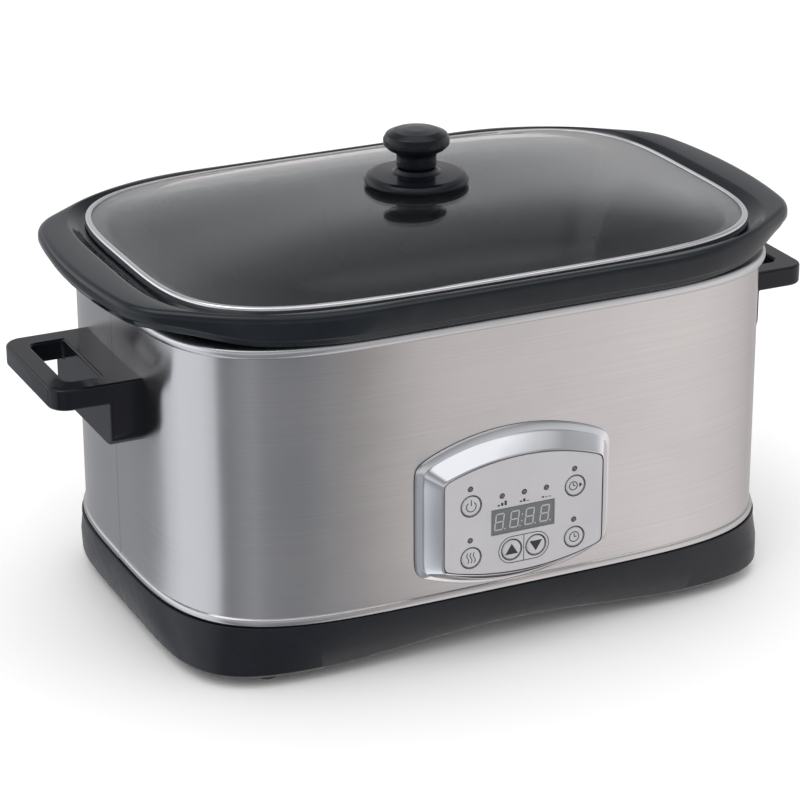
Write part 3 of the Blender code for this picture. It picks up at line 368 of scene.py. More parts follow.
def foot(a, b, n=FOOTPRINT_N, m=FOOTPRINT_M):
    return superellipse(a, b, n, m)


def circle(r):
    return lambda bearing: r


def mix(first, second, share):
    return lambda bearing: first(bearing) * (1 - share) + second(bearing) * share


def fillet(before, corner, after, r, steps=16):
    """Arc of radius r that rounds the corner between two straight edges."""
    into = (Vector(before) - Vector(corner)).normalized()
    out = (Vector(after) - Vector(corner)).normalized()
    half = into.angle(out) / 2
    centre = Vector(corner) + (into + out).normalized() * (r / math.sin(half))
    start = Vector(corner) + into * (r / math.tan(half)) - centre
    turn = math.pi - 2 * half
    if into.cross(out) > 0:
        turn = -turn
    return [centre + Matrix.Rotation(turn * i / steps, 2) @ start for i in range(steps + 1)]


def inset_corner(corner, before, after, inset):
    """Move a corner inwards, given the outward normals of its two edges."""
    return Vector(corner) - (before + after) * (inset / (1 + before.dot(after)))


def flange(inset=0.0):
    """Outline of the crock's flange: bowed ends, diagonal corners and long sides."""
    swing = math.asin(BOW_Y / BOW_R)
    end_r = BOW_R - inset
    bow = [(FLANGE_A - BOW_R + end_r * math.cos(swing * i / 12), end_r * math.sin(swing * i / 12))
           for i in range(13)]
    end_normal = Vector((math.cos(swing), math.sin(swing)))
    end_x = FLANGE_A - BOW_R * (1 - math.cos(swing)) - (FLANGE_END_Y - BOW_Y) * math.tan(swing)
    run = Vector((FLANGE_SIDE_X - end_x, FLANGE_B - FLANGE_END_Y))
    diagonal_normal = Vector((run.y, -run.x)).normalized()
    end = inset_corner((end_x, FLANGE_END_Y), end_normal, diagonal_normal, inset)
    side = inset_corner((FLANGE_SIDE_X, FLANGE_B), diagonal_normal, Vector((0, 1)), inset)
    quarter = [Vector(p) for p in bow]
    quarter += fillet(bow[-1], end, side, FLANGE_END_R - inset)
    quarter += fillet(end, side, (0.0, side.y), FLANGE_SIDE_R - inset)
    quarter += [Vector((0.0, side.y))]
    angles = np.array([math.atan2(p.y, p.x) for p in quarter])

    def radius(bearing):
        folded = math.atan2(abs(math.sin(bearing)), abs(math.cos(bearing)))
        after = int(np.clip(np.searchsorted(angles, folded), 1, len(angles) - 1))
        p, q = quarter[after - 1], quarter[after]
        along = Vector((math.cos(folded), math.sin(folded)))
        step = q - p
        return (p.x * step.y - p.y * step.x) / (along.x * step.y - along.y * step.x)
    return radius


def plan_bearings(count=SIDES):
    """Bearings that crowd round the corners, where the outlines turn fastest."""
    found = []
    for i in range(count):
        t = 2 * math.pi * i / count
        x = WRAP_A * math.copysign(abs(math.cos(t)) ** (2 / 3.2), math.cos(t))
        y = WRAP_B * math.copysign(abs(math.sin(t)) ** (2 / 3.0), math.sin(t))
        found.append(math.atan2(y, x) % (2 * math.pi))
    return found


BEARINGS = plan_bearings()


def ring(outline, z):
    """Points of an outline at height z, which may itself depend on x and y."""
    points = []
    for bearing in BEARINGS:
        r = outline(bearing)
        x, y = r * math.cos(bearing), r * math.sin(bearing)
        points.append((x, y, z(x, y) if callable(z) else z))
    return points


def rings_of(outline, rows):
    """Rings of one kind of outline, from rows of its sizes in millimetres and a height."""
    return [ring(outline(*(size * MM for size in sizes)), z) for *sizes, z in rows]


def loft(rings, closed=False):
    """Skin a stack of equal rings: with flat ends, or closed on itself like a tyre."""
    bm = bmesh.new()
    rows = [[bm.verts.new(p) for p in points] for points in rings]
    pairs = list(zip(rows, rows[1:])) + ([(rows[-1], rows[0])] if closed else [])
    for low, high in pairs:
        for i in range(len(low)):
            j = (i + 1) % len(low)
            bm.faces.new((low[i], low[j], high[j], high[i]))
    if not closed:
        bm.faces.new(rows[0][::-1])
        bm.faces.new(rows[-1])
    return bm


def turned(profile, steps=96, closed=False):
    """Turn a (radius, height) profile about Z; radius 0 closes the end on the axis."""
    bm = bmesh.new()
    rows = []
    for r, z in profile:
        count = 1 if r == 0 else steps
        rows.append([
            bm.verts.new((r * math.cos(2 * math.pi * i / steps), r * math.sin(2 * math.pi * i / steps), z))
            for i in range(count)
        ])
    pairs = list(zip(rows, rows[1:])) + ([(rows[-1], rows[0])] if closed else [])
    for low, high in pairs:
        for i in range(steps):
            j = (i + 1) % steps
            corners = [low[i % len(low)], low[j % len(low)], high[j % len(high)], high[i % len(high)]]
            bm.faces.new(list(dict.fromkeys(corners)))
    return bm


def rod(r, half, steps):
    """Plain cylinder about Z, half long each way."""
    return turned([(0, -half), (r, -half), (r, half), (0, half)], steps)


def points_from(r, z, rows):
    """Profile points given by their distances from (r, z), in millimetres."""
    return [(r + out * MM, z + up * MM) for out, up in rows]


def rounded_profile(points, r, steps=4):
    """Round the inner corners of an open (radius, height) profile, each no more than its edges allow."""
    result = [points[0]]
    for before, corner, after in zip(points, points[1:], points[2:]):
        a, b, c = Vector(before), Vector(corner), Vector(after)
        reach = min((a - b).length, (c - b).length) * 0.45
        half = (a - b).angle(c - b) / 2
        fit = min(r, reach * math.tan(half))
        if abs(half - math.pi / 2) < 0.02 or fit <= 0:
            result.append(corner)
            continue
        result += [tuple(p) for p in fillet(a, b, c, fit, steps)]
    return result + [points[-1]]


def along_y(bm):
    """Lay a piece turned about Z down, so that its +Z points to +Y."""
    bmesh.ops.rotate(bm, matrix=Matrix.Rotation(-math.pi / 2, 3, "X"), verts=bm.verts)
    return bm


def moved(bm, x=0.0, y=0.0, z=0.0):
    bmesh.ops.translate(bm, vec=(x, y, z), verts=bm.verts)
    return bm


def merged(pieces):
    """One bmesh that holds several separate shells."""
    whole = bmesh.new()
    for piece in pieces:
        spare = bpy.data.meshes.new("spare")
        piece.to_mesh(spare)
        piece.free()
        whole.from_mesh(spare)
        bpy.data.meshes.remove(spare)
    return whole


def combine(obj, operation, tools):
    """Apply a Boolean of each bmesh tool to an object, one tool after another."""
    for bm in tools:
        bmesh.ops.recalc_face_normals(bm, faces=bm.faces)
        mesh = bpy.data.meshes.new("tool")
        bm.to_mesh(mesh)
        bm.free()
        tool = bpy.data.objects.new("tool", mesh)
        bpy.context.scene.collection.objects.link(tool)
        step = obj.modifiers.new("cut", "BOOLEAN")
        step.operation = operation
        step.solver = "EXACT"
        step.object = tool
        graph = bpy.context.evaluated_depsgraph_get()
        done = bpy.data.meshes.new_from_object(obj.evaluated_get(graph))
        obj.modifiers.clear()
        obj.data = done
        bpy.data.objects.remove(tool, do_unlink=True)


def flat_shape(outline, y, thick=PRINT_T):
    """Thin plate from (x, z) points, its front at y and its back towards +Y."""
    bm = bmesh.new()
    front = [bm.verts.new((x, y, z)) for x, z in outline]
    back = [bm.verts.new((x, y + thick, z)) for x, z in outline]
    bm.faces.new(front)
    bm.faces.new(back[::-1])
    for i in range(len(front)):
        j = (i + 1) % len(front)
        bm.faces.new((front[i], front[j], back[j], back[i]))
    return bm


def flat_ring(outer, inner, y, thick=PRINT_T):
    """Thin plate between two (x, z) outlines with as many points."""
    bm = bmesh.new()
    rows = [[bm.verts.new((x, at, z)) for x, z in outline]
            for outline, at in ((outer, y), (inner, y), (inner, y + thick), (outer, y + thick))]
    for low, high in zip(rows, rows[1:] + rows[:1]):
        for i in range(len(low)):
            j = (i + 1) % len(low)
            bm.faces.new((low[i], low[j], high[j], high[i]))
    return bm


def arc_points(x, z, r, start=0.0, end=2 * math.pi, steps=48):
    """Points of an arc; a full circle doesn't repeat its first one."""
    arc_is_open = end - start < 2 * math.pi - 1e-6
    turns = [start + (end - start) * i / steps for i in range(steps + arc_is_open)]
    return [(x + r * math.cos(turn), z + r * math.sin(turn)) for turn in turns]


def stadium(x, z, half, r, steps=16):
    """Outline of a slot with round ends, half long each way from its middle."""
    right = arc_points(x + half, z, r, -math.pi / 2, math.pi / 2, steps)
    left = arc_points(x - half, z, r, math.pi / 2, 3 * math.pi / 2, steps)
    return right + left


def prism(outline, low, high):
    """Extrude a closed list of plan points from height low to high."""
    return loft([[(x, y, z) for x, y in outline] for z in (low, high)])


def bar(x0, x1, z0, z1):
    return [(x0, z0), (x1, z0), (x1, z1), (x0, z1)]


# ============================== base and steel body ==============================

def arched(z):
    """The bottom edge lifts in a shallow arch along the middle of the long sides."""
    def height(x, y):
        if abs(x) > ARCH_SPAN or abs(y) < ARCH_Y:
            return z
        return z + ARCH_H * 0.5 * (1 + math.cos(math.pi * x / ARCH_SPAN))
    return height


def flared(a, b):
    """The base's outline where it swells out between the floor and the steel."""
    return foot(a, b, 6.2, 4.2)


def base_wall(inset):
    """The base's outline where it meets the steel."""
    return body(0, BASE_A - inset, BASE_B - inset)


def base():
    """Moulded base with its pads round the four feet."""
    ceiling, sole, wall = 16 * MM, 13 * MM, 5.4
    rings = rings_of(foot, [
        (176, 108.5, sole), (178, 113, arched(FOOT_H)), (181.5, 116.5, arched(FOOT_H)),
        (184.0, 119.4, arched(FOOT_H + 1.2 * MM)), (185.3, 121.6, arched(FOOT_H + 3.4 * MM)),
    ]) + rings_of(flared, [(187.8, 125.8, 21 * MM)]) + rings_of(base_wall, [
        (0, BASE_TOP - 5 * MM), (0, BASE_TOP), (wall, BASE_TOP), (wall, BASE_TOP - 4 * MM),
    ]) + rings_of(flared, [(182, 117.5, ceiling)]) + rings_of(foot, [(112, 62, ceiling), (112, 62, sole)])
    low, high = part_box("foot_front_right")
    x, y = (low.x + high.x) / 2, -(low.y + high.y) / 2
    pad_r, pad_top, edge = 9 * MM, 15 * MM, 0.6 * MM
    profile = [(0, FOOT_H), (pad_r - edge, FOOT_H), (pad_r, FOOT_H + edge), (pad_r, pad_top), (0, pad_top)]
    pads = [moved(turned(profile, 40), sx * x, sy * y) for sx in (1, -1) for sy in (1, -1)]
    obj = add("base_shell", merged([loft(rings, closed=True)] + pads), "black_matte_plastic")
    shade(obj, 0.8 * MM, 3)
    stands_for(obj, "housing", "base_moulding")


def half_wrap(side):
    """Sheet that follows half the body outline, from seam to seam, with a rolled bottom bead."""
    low = BASE_TOP + 0.4 * MM
    bead_r, bead_low, bead_top = 2.2 * MM, 0.5 * MM, 5.4 * MM
    levels = [(low, 0.0)]
    for i in range(1, 10):
        turn = math.pi * i / 10
        levels.append((low + bead_r * (1 - math.cos(turn)), bead_low + (BEAD - bead_low) * math.sin(turn)))
    levels += [(low + 4.6 * MM, 0.12 * MM), (low + bead_top, 0.0)]
    levels += [(low + bead_top + (WRAP_TOP - low - bead_top) * i / 6, 0.0) for i in range(1, 7)]
    inner = body(-WRAP_T)
    seam = SEAM / WRAP_A
    bearings = [seam] + [b for b in BEARINGS if 0.006 < b < math.pi - 0.006] + [math.pi - seam]
    bm = bmesh.new()
    rows = []
    for z, out in levels:
        outer = body(out)
        loop = [outer(b) * Vector((math.cos(b), side * math.sin(b))) for b in bearings]
        loop += [inner(b) * Vector((math.cos(b), side * math.sin(b))) for b in reversed(bearings)]
        rows.append([bm.verts.new((p.x, p.y, z)) for p in loop])
    count = len(rows[0])
    for below, above in zip(rows, rows[1:]):
        for i in range(count):
            j = (i + 1) % count
            bm.faces.new((below[i], below[j], above[j], above[i]))
    for row in (rows[0], rows[-1]):
        for i in range(len(bearings) - 1):
            bm.faces.new((row[i], row[i + 1], row[count - 2 - i], row[count - 1 - i]))
    return bm


def wraps():
    """The two steel shells, with the panel's opening in front and the cable's hole behind."""
    front = add("steel_front", half_wrap(-1), "brushed_steel")
    combine(front, "DIFFERENCE", [barrel_prism(PANEL_HOLE, -140 * MM, -110 * MM)])
    rear = add("steel_rear", half_wrap(1), "brushed_steel")
    hole = rod(6.6 * MM, 15 * MM, 40)
    x, z = centre("cable_gland")
    combine(rear, "DIFFERENCE", [moved(along_y(hole), x, WRAP_B, z)])
    for obj, node in ((front, "wrap_front"), (rear, "wrap_rear")):
        obj.data.shade_smooth()
        obj.data.set_sharp_from_angle(angle=math.radians(50))
        stands_for(obj, "housing", node)


def liner():
    """Heater liner with the rolled bead that shows between the steel and the crock."""
    low, top = (163, 105), (180.5, 121.5)
    low_z, top_z, floor_z = 68 * MM, 196.5 * MM, 62.6 * MM
    under = WRAP_TOP + 0.6 * MM
    roll, neck = 3.0 * MM, 0.9 * MM
    bead = []
    for i in range(9):
        t = math.pi * (i / 8) - math.pi / 2
        outline = body(neck + (roll - neck) * math.cos(t))
        bead.append(ring(outline, WRAP_TOP - neck + 2.9 * MM * math.sin(t)))
    rings = rings_of(body, [
        (-5, *low, floor_z), (0, *low, low_z), (0, *top, top_z), (1.6, *top, under), (0.5, under),
        (0.5, WRAP_TOP - 3.2 * MM),
    ]) + bead + rings_of(body, [
        (-1.5, RIM_SEAT), (0.6, *top, RIM_SEAT), (-1.2, *top, RIM_SEAT - 2.5 * MM),
        (-1.2, *low, low_z + 1 * MM), (-6, *low, floor_z + 1.2 * MM),
    ])
    obj = add("heater_liner", loft(rings), "aluminised_sheet")
    shade(obj, 0, angle=50)
    stands_for(obj, "housing", "liner")


# ============================== crock and lid ==============================

def wing(z):
    """Height of the flange's lower edge, which lifts in an S towards both ends."""
    def height(x, y):
        share = min(max((abs(x) - 140 * MM) / (55 * MM), 0.0), 1.0)
        return z + WING_LIFT * share * share * (3 - 2 * share)
    return height


def crock():
    """Stoneware crock: tapered pot, winged flange, and a stepped mouth that seats the lid."""
    under = RIM_SEAT + 0.4 * MM
    rings = rings_of(body, [
        (0, 140, 82, CROCK_BOTTOM), (0, 151, 93, CROCK_BOTTOM + 3 * MM),
        (0, 156, 98, CROCK_BOTTOM + 10 * MM), (0, 176, 118, under - 4 * MM), (0, 178, 119.5, under),
    ]) + rings_of(flange, [
        (3.0, wing(under)), (2.3, wing(under + 0.7 * MM)), (2.2, wing(under + 2.8 * MM)),
        (1.6, wing(under + 3.5 * MM)), (0.4, wing(under + 3.9 * MM)), (0, wing(under + 4.6 * MM)),
        (0, RIM_TOP - 4.2 * MM), (0.25, RIM_TOP - 2.8 * MM), (0.9, RIM_TOP - 1.5 * MM),
        (1.9, RIM_TOP - 0.55 * MM), (3.2, RIM_TOP - 0.08 * MM), (4.6, RIM_TOP),
    ]) + rings_of(mouth, [
        (191.6, 127.0, RIM_TOP), (190.2, 126.4, RIM_TOP - 0.35 * MM), (188.8, 125.9, RIM_TOP - 1.4 * MM),
        (184.6, 125.0, LID_SEAT + 0.5 * MM), (183.6, 124.4, LID_SEAT), (170.6, 113.6, LID_SEAT),
        (169.0, 112.0, LID_SEAT - 0.6 * MM), (168, 111, LID_SEAT - 2.4 * MM),
        (148, 91, CROCK_FLOOR + 9 * MM), (145.6, 88.6, CROCK_FLOOR + 5.2 * MM),
        (142, 85, CROCK_FLOOR + 2.5 * MM), (136, 79, CROCK_FLOOR + 0.7 * MM), (128, 72, CROCK_FLOOR),
    ])
    obj = add("glazed_crock", loft(rings), "black_glaze")
    shade(obj, 0, angle=60)
    stands_for(obj, "crock", "crock")


def dome(share):
    """Height of the lid's upper glass face; share is 1 at the flat edge, 0 at the knob."""
    edge = LID_SEAT + 4.5 * MM
    return edge + (GLASS_TOP - edge) * (1 - share ** 2.2)


def lid_edge(inset):
    return mouth(LID_A - inset, LID_B - inset)


def lid():
    """Domed glass with a hole for the knob's screw."""
    edge, hub = lid_edge(1.1 * MM), circle(KNOB_DISC_R + 2 * MM)
    steps, reach = 14, 0.97
    top = [ring(edge, dome(1.0))]
    for i in range(1, steps):
        share = reach * (1 - i / steps)
        top.append(ring(mix(hub, edge, share ** 1.1), dome(share / reach)))
    top += [ring(hub, GLASS_TOP), ring(circle(3.4 * MM), GLASS_TOP)]
    below = [[(x, y, z - GLASS_T + (0.3 * MM if i == 0 else 0)) for x, y, z in points]
             for i, points in enumerate(top)]
    pane = add("glass_dome", loft(top + below[::-1], closed=True), "clear_glass")
    shade(pane, 0, angle=40)
    stands_for(pane, "lid", "lid_glass")


def band():
    """Rolled steel channel round the glass."""
    low, high = LID_SEAT + 0.4 * MM, LID_SEAT + 5.4 * MM
    inner, slot = 3.2, 0.6
    rings = rings_of(lid_edge, [
        (inner, low), (0.8, low), (0.2, low + 0.3 * MM), (0, low + 1.0 * MM), (0, high - 1.4 * MM),
        (0.3, high - 0.6 * MM), (1.0, high - 0.1 * MM), (1.8, high), (inner - 0.2, high - 0.1 * MM),
        (inner, high - 0.35 * MM), (inner, high - 0.6 * MM), (slot, high - 0.75 * MM),
        (slot, low + 0.6 * MM), (inner, low + 0.6 * MM),
    ])
    obj = add("steel_band", loft(rings, closed=True), "bright_steel")
    shade(obj, 0, angle=45)
    stands_for(obj, "lid", "lid_band")


def knob():
    """Disc that lies on the glass, and the knob with its stem."""
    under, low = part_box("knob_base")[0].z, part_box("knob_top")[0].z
    stem_r, bore_r, screw_r, blind = 11.5 * MM, 3 * MM, 2.8 * MM, 253 * MM
    base = [(bore_r, under)]
    base += points_from(KNOB_DISC_R, under, [(-1.5, 0), (0, 1.5), (0, 3.2), (-1.6, 5), (-4.4, 5.7)])
    base += points_from(stem_r, under, [(3.0, 6.3), (1.2, 6.9), (0.6, 8.6), (0.2, 9.2)])
    base += [(bore_r, under + 9.2 * MM)]
    disc = add("knob_disc", turned(rounded_profile(base, 1.2 * MM), closed=True), "black_gloss_plastic")
    shade(disc, 0, angle=50)
    stands_for(disc, "lid", "knob_base")
    top = [(0, blind), (screw_r, blind), (screw_r, low), (stem_r, low)]
    top += points_from(stem_r, KNOB_TOP, [(0, -14.6), (1.2, -12.6)])
    top += points_from(KNOB_CAP_R, KNOB_TOP, [(-2.4, -11), (0, -8.6), (0, -5.6), (-1.6, -2.6), (-6, -0.75)])
    top += [(KNOB_CAP_R * 0.3, KNOB_TOP - 0.05 * MM), (0, KNOB_TOP)]
    cap = add("knob_cap", turned(rounded_profile(top, 1.8 * MM, 6)), "black_gloss_plastic")
    shade(cap, 0, angle=50)
    stands_for(cap, "lid", "knob_top")


# ============================== handles ==============================

def half_rounded(start, end, half, r):
    """Rectangle from start to end, half wide each way, with the two corners at its end rounded."""
    path = [(start, -half), (end, -half), (end, half), (start, half)]
    rounded = fillet(*path[:3], r, 8) + fillet(*path[1:], r, 8)
    return [(start, half), (start, -half)] + [tuple(p) for p in rounded]


def handle(name, side, node):
    """Loop handle and its mounting plate in one piece, tucked a little way into the steel."""
    tuck, margin = 170 * MM, 10 * MM
    bar_low = HANDLE_TOP - HANDLE_BAR
    low, high = bar_low - margin, HANDLE_TOP + margin
    plate = half_rounded(HANDLE_TOP, HANDLE_LOW, HANDLE_HALF, 9 * MM)
    block = loft([[(x, y, z) for z, y in plate] for x in (tuck, HANDLE_REACH)])
    obj = add(name, block, "black_gloss_plastic")
    under = bar(PLATE_X, HANDLE_REACH + margin, HANDLE_LOW - margin, bar_low)
    below_bar = flat_shape(under, -HANDLE_HALF - margin, 2 * (HANDLE_HALF + margin))
    grip = half_rounded(PLATE_X, GRIP_OUT, GRIP_HALF, 5 * MM)
    core = loft([ring(body(-WRAP_T - 0.4 * MM), z) for z in (100 * MM, 190 * MM)])
    corners = [corner_cutter(HANDLE_REACH, sign * HANDLE_HALF, sign, 11 * MM, low, high) for sign in (1, -1)]
    combine(obj, "DIFFERENCE", [below_bar, prism(grip, low, high), core] + corners)
    bm = bmesh.new()
    bm.from_mesh(obj.data)
    bmesh.ops.remove_doubles(bm, verts=bm.verts, dist=1e-6)
    bmesh.ops.dissolve_degenerate(bm, dist=1e-6, edges=bm.edges)
    bmesh.ops.dissolve_limit(bm, angle_limit=math.radians(1), verts=bm.verts, edges=bm.edges)
    bm.to_mesh(obj.data)
    bm.free()
    if side < 0:
        obj.data.transform(Matrix.Rotation(math.pi, 4, "Z"))
    shade(obj, 1.5 * MM, 4, 40)
    obj.modifiers["edges"].use_clamp_overlap = False
    stands_for(obj, "housing", node)


def corner_cutter(x, y, sign, r, low, high):
    """Prism that rounds a plan corner at (x, y), whose edges run towards -X and towards y = 0."""
    spare = 2 * MM
    turns = [math.pi / 2 * i / 10 for i in range(11)]
    outline = [(x - r + r * math.cos(turn), y - sign * (r - r * math.sin(turn))) for turn in turns]
    outline += [(x - r, y + sign * spare), (x + spare, y + sign * spare), (x + spare, y - sign * r)]
    return prism(outline, low, high)


# ============================== control panel ==============================

def barrel(shape):
    """Radius about the panel's middle of straight sides closed by two arcs, corners rounded."""
    half, side_low, side_high, low, high = (v * MM for v in shape[:5])
    corner = shape[5]

    def arc_radius(bearing):
        up = math.sin(bearing) >= 0
        apex, shoulder = (high, side_high) if up else (2 * PANEL_MID_Z - low, 2 * PANEL_MID_Z - side_low)
        sagitta = apex - shoulder
        r = (half ** 2 + sagitta ** 2) / (2 * sagitta)
        k = PANEL_MID_Z - (apex - r)
        s = abs(math.sin(bearing))
        return -s * k + math.sqrt(s * s * k * k - k * k + r * r)

    def radius(bearing):
        straight = half / max(abs(math.cos(bearing)), 1e-6)
        return (straight ** -corner + arc_radius(bearing) ** -corner) ** (-1 / corner)
    return radius


def panel_bearings(count=200):
    """Bearings that space the outline's points evenly, with one on each corner."""
    dense = [2 * math.pi * i / 720 for i in range(720)]
    outline = barrel(BEZEL_EDGE)
    points = [Vector((outline(b) * math.cos(b), outline(b) * math.sin(b))) for b in dense + [0.0]]
    run = np.concatenate([[0.0], np.cumsum([(q - p).length for p, q in zip(points, points[1:])])])
    wanted = np.linspace(0, run[-1], count, endpoint=False)
    found = [float(b) for b in np.interp(wanted, run, dense + [2 * math.pi])]
    half, side_low, side_high = (v * MM for v in FACE_OUTLINE[:3])
    for x, z in ((half, side_high), (-half, side_high), (-half, side_low), (half, side_low)):
        corner = math.atan2(z - PANEL_MID_Z, x) % (2 * math.pi)
        nearest = min(range(count), key=lambda i: abs(found[i] - corner))
        found[nearest] = corner
    return found


PANEL_BEARINGS = panel_bearings()


def panel_ring(shape, y, offset=0.0):
    """Points of a panel outline at depth y, moved outwards by the offset."""
    outline = barrel(shape)
    points = []
    for bearing in PANEL_BEARINGS:
        r = outline(bearing) + offset
        points.append((PANEL_X + r * math.cos(bearing), y, PANEL_MID_Z + r * math.sin(bearing)))
    return points


def barrel_prism(shape, low, high):
    return loft([panel_ring(shape, low), panel_ring(shape, high)])


def bezel():
    """Chrome frame: an outer wall, a rounded edge and a dished face down to the faceplate."""
    wall = -WRAP_B - 0.4 * MM
    opening = 0.35
    rings = [panel_ring(shape, y, offset * MM) for shape, y, offset in (
        (BEZEL_WALL, wall, 0), (BEZEL_WALL, wall - 1.4 * MM, -0.5), (BEZEL_WALL, wall - 1.9 * MM, -1.2),
        (BEZEL_EDGE, wall - 3.1 * MM, 0), (BEZEL_EDGE, wall - 3.8 * MM, -0.15),
        (BEZEL_EDGE, wall - 4.4 * MM, -0.8), (BEZEL_INNER, FACE_Y + 0.7 * MM, 0.6),
        (BEZEL_INNER, FACE_Y + 0.15 * MM, -0.1), (FACE_OUTLINE, FACE_Y - 0.1 * MM, opening + 0.1),
        (FACE_OUTLINE, FACE_Y + 0.2 * MM, opening), (FACE_OUTLINE, FACE_Y + 4.2 * MM, opening),
        (BEZEL_EDGE, wall - 2.4 * MM, -3.4), (BEZEL_WALL, wall, -4),
    )]
    obj = add("chrome_bezel", loft(rings, closed=True), "chrome_trim")
    shade(obj, 0, angle=22)
    stands_for(obj, "housing", "panel_bezel")


def centre(node):
    """Middle of a node in the panel's plane."""
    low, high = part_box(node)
    return (low.x + high.x) / 2, (low.z + high.z) / 2


def face():
    """Faceplate with the holes for keys, lamps and window; its dark edge line is drawn with the prints."""
    rings = [panel_ring(FACE_OUTLINE, FACE_Y + FACE_T), panel_ring(FACE_OUTLINE, FACE_Y + 0.25 * MM),
             panel_ring(FACE_OUTLINE, FACE_Y, -0.25 * MM)]
    obj = add("silver_face", loft(rings), "silver_plastic")
    tools = []
    for names, r in ((KEYS, KEY_R + KEY_GAP), (LAMPS, LAMP_R + 0.3 * MM)):
        for name in names:
            x, z = centre(name)
            tools.append(moved(along_y(rod(r, 5 * MM, 56)), x, FACE_Y, z))
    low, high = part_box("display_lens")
    slack = 0.3 * MM
    tools.append(flat_shape(bar(low.x - slack, high.x + slack, low.z - slack, high.z + slack),
                            FACE_Y - 2 * MM, 8 * MM))
    combine(obj, "DIFFERENCE", tools)
    shade(obj, 0, angle=30)
    stands_for(obj, "housing", "faceplate")


def keys():
    """Key caps with the flange that holds each behind the faceplate, and their printed signs."""
    back, flange_r, flange_t = FACE_T + 0.3 * MM, 7 * MM, 0.8 * MM
    stem_r, length = 2 * MM, 6.4 * MM
    profile = [(0, 0.02 * MM), (KEY_R * 0.5, 0.0)]
    profile += points_from(KEY_R, 0, [(-0.75, 0.03), (-0.35, 0.1), (-0.1, 0.28), (0, 0.6)])
    profile += [(KEY_R, back), (flange_r, back), (flange_r, back + flange_t), (stem_r, back + flange_t),
                (stem_r, length), (0, length)]
    for name in KEYS:
        x, z = centre(name)
        obj = add(name + "_cap", moved(along_y(turned(profile, 72)), x, FACE_Y, z), "silver_plastic")
        shade(obj, 0, angle=40)
        stands_for(obj, name, name)
        mark = add(name + "_mark", merged(key_mark(name, x, z)), "silver_plastic", "ink_dark")
        stands_for(mark, name)


def key_mark(name, x, z):
    """Generic printed sign for one key, in place of wording."""
    y = FACE_Y - 0.05 * MM
    line = 0.27 * MM

    def near(*points):
        """Points given in millimetres from the key's middle."""
        return [(x + across * MM, z + up * MM) for across, up in points]

    if name in ("key_up", "key_down"):
        up = 1 if name == "key_up" else -1
        return [flat_shape(near((-3.9, -2.7 * up), (3.9, -2.7 * up), (0, 3.5 * up)), y)]
    if name == "key_start":
        gap, r = math.radians(38), 3.2 * MM
        outer, inner = (arc_points(x, z - 0.3 * MM, edge, math.pi / 2 + gap, 5 * math.pi / 2 - gap, 30)
                        for edge in (r, r - 2 * line))
        return [flat_strip(outer, inner, y),
                flat_shape(bar(x - line, x + line, z + 0.3 * MM, z + 3.7 * MM), y)]
    if name == "key_heat":
        waves = []
        for offset in (-2.0, 0.0, 2.0):
            path = near(*((offset + 0.6 * math.sin(2 * math.pi * i / 16), -3.1 + 6.2 * i / 16)
                          for i in range(17)))
            waves.append(flat_strip([(a + line, b) for a, b in path], [(a - line, b) for a, b in path], y))
        return waves
    dial = 3.2 * MM if name == "key_time" else 2.7 * MM
    mid = x - 1.1 * MM if name == "key_delay" else x
    marks = [flat_ring(arc_points(mid, z, dial), arc_points(mid, z, dial - 2 * line), y),
             flat_shape(bar(mid - line, mid + line, z, z + 0.65 * dial), y),
             flat_shape(bar(mid, mid + 0.5 * dial, z - line, z + line), y)]
    if name == "key_delay":
        marks.append(flat_shape(near((2.6, -1.5), (4.6, 0), (2.6, 1.5)), y))
    return marks


def flat_strip(outer, inner, y, thick=PRINT_T):
    """Thin open strip between two (x, z) paths with as many points."""
    return flat_shape(list(outer) + list(reversed(inner)), y, thick)


def lamps():
    for name in LAMPS:
        x, z = centre(name)
        length = 7.9 * MM
        profile = [(0, 0.0), (LAMP_R * 0.45, 0.05 * MM), (LAMP_R * 0.8, 0.22 * MM), (LAMP_R, 0.55 * MM),
                   (LAMP_R, length), (0, length)]
        obj = add(name + "_dome", moved(along_y(turned(profile, 40)), x, FACE_Y, z), "lamp_plastic")
        shade(obj, 0, angle=50)
        stands_for(obj, "housing", name)


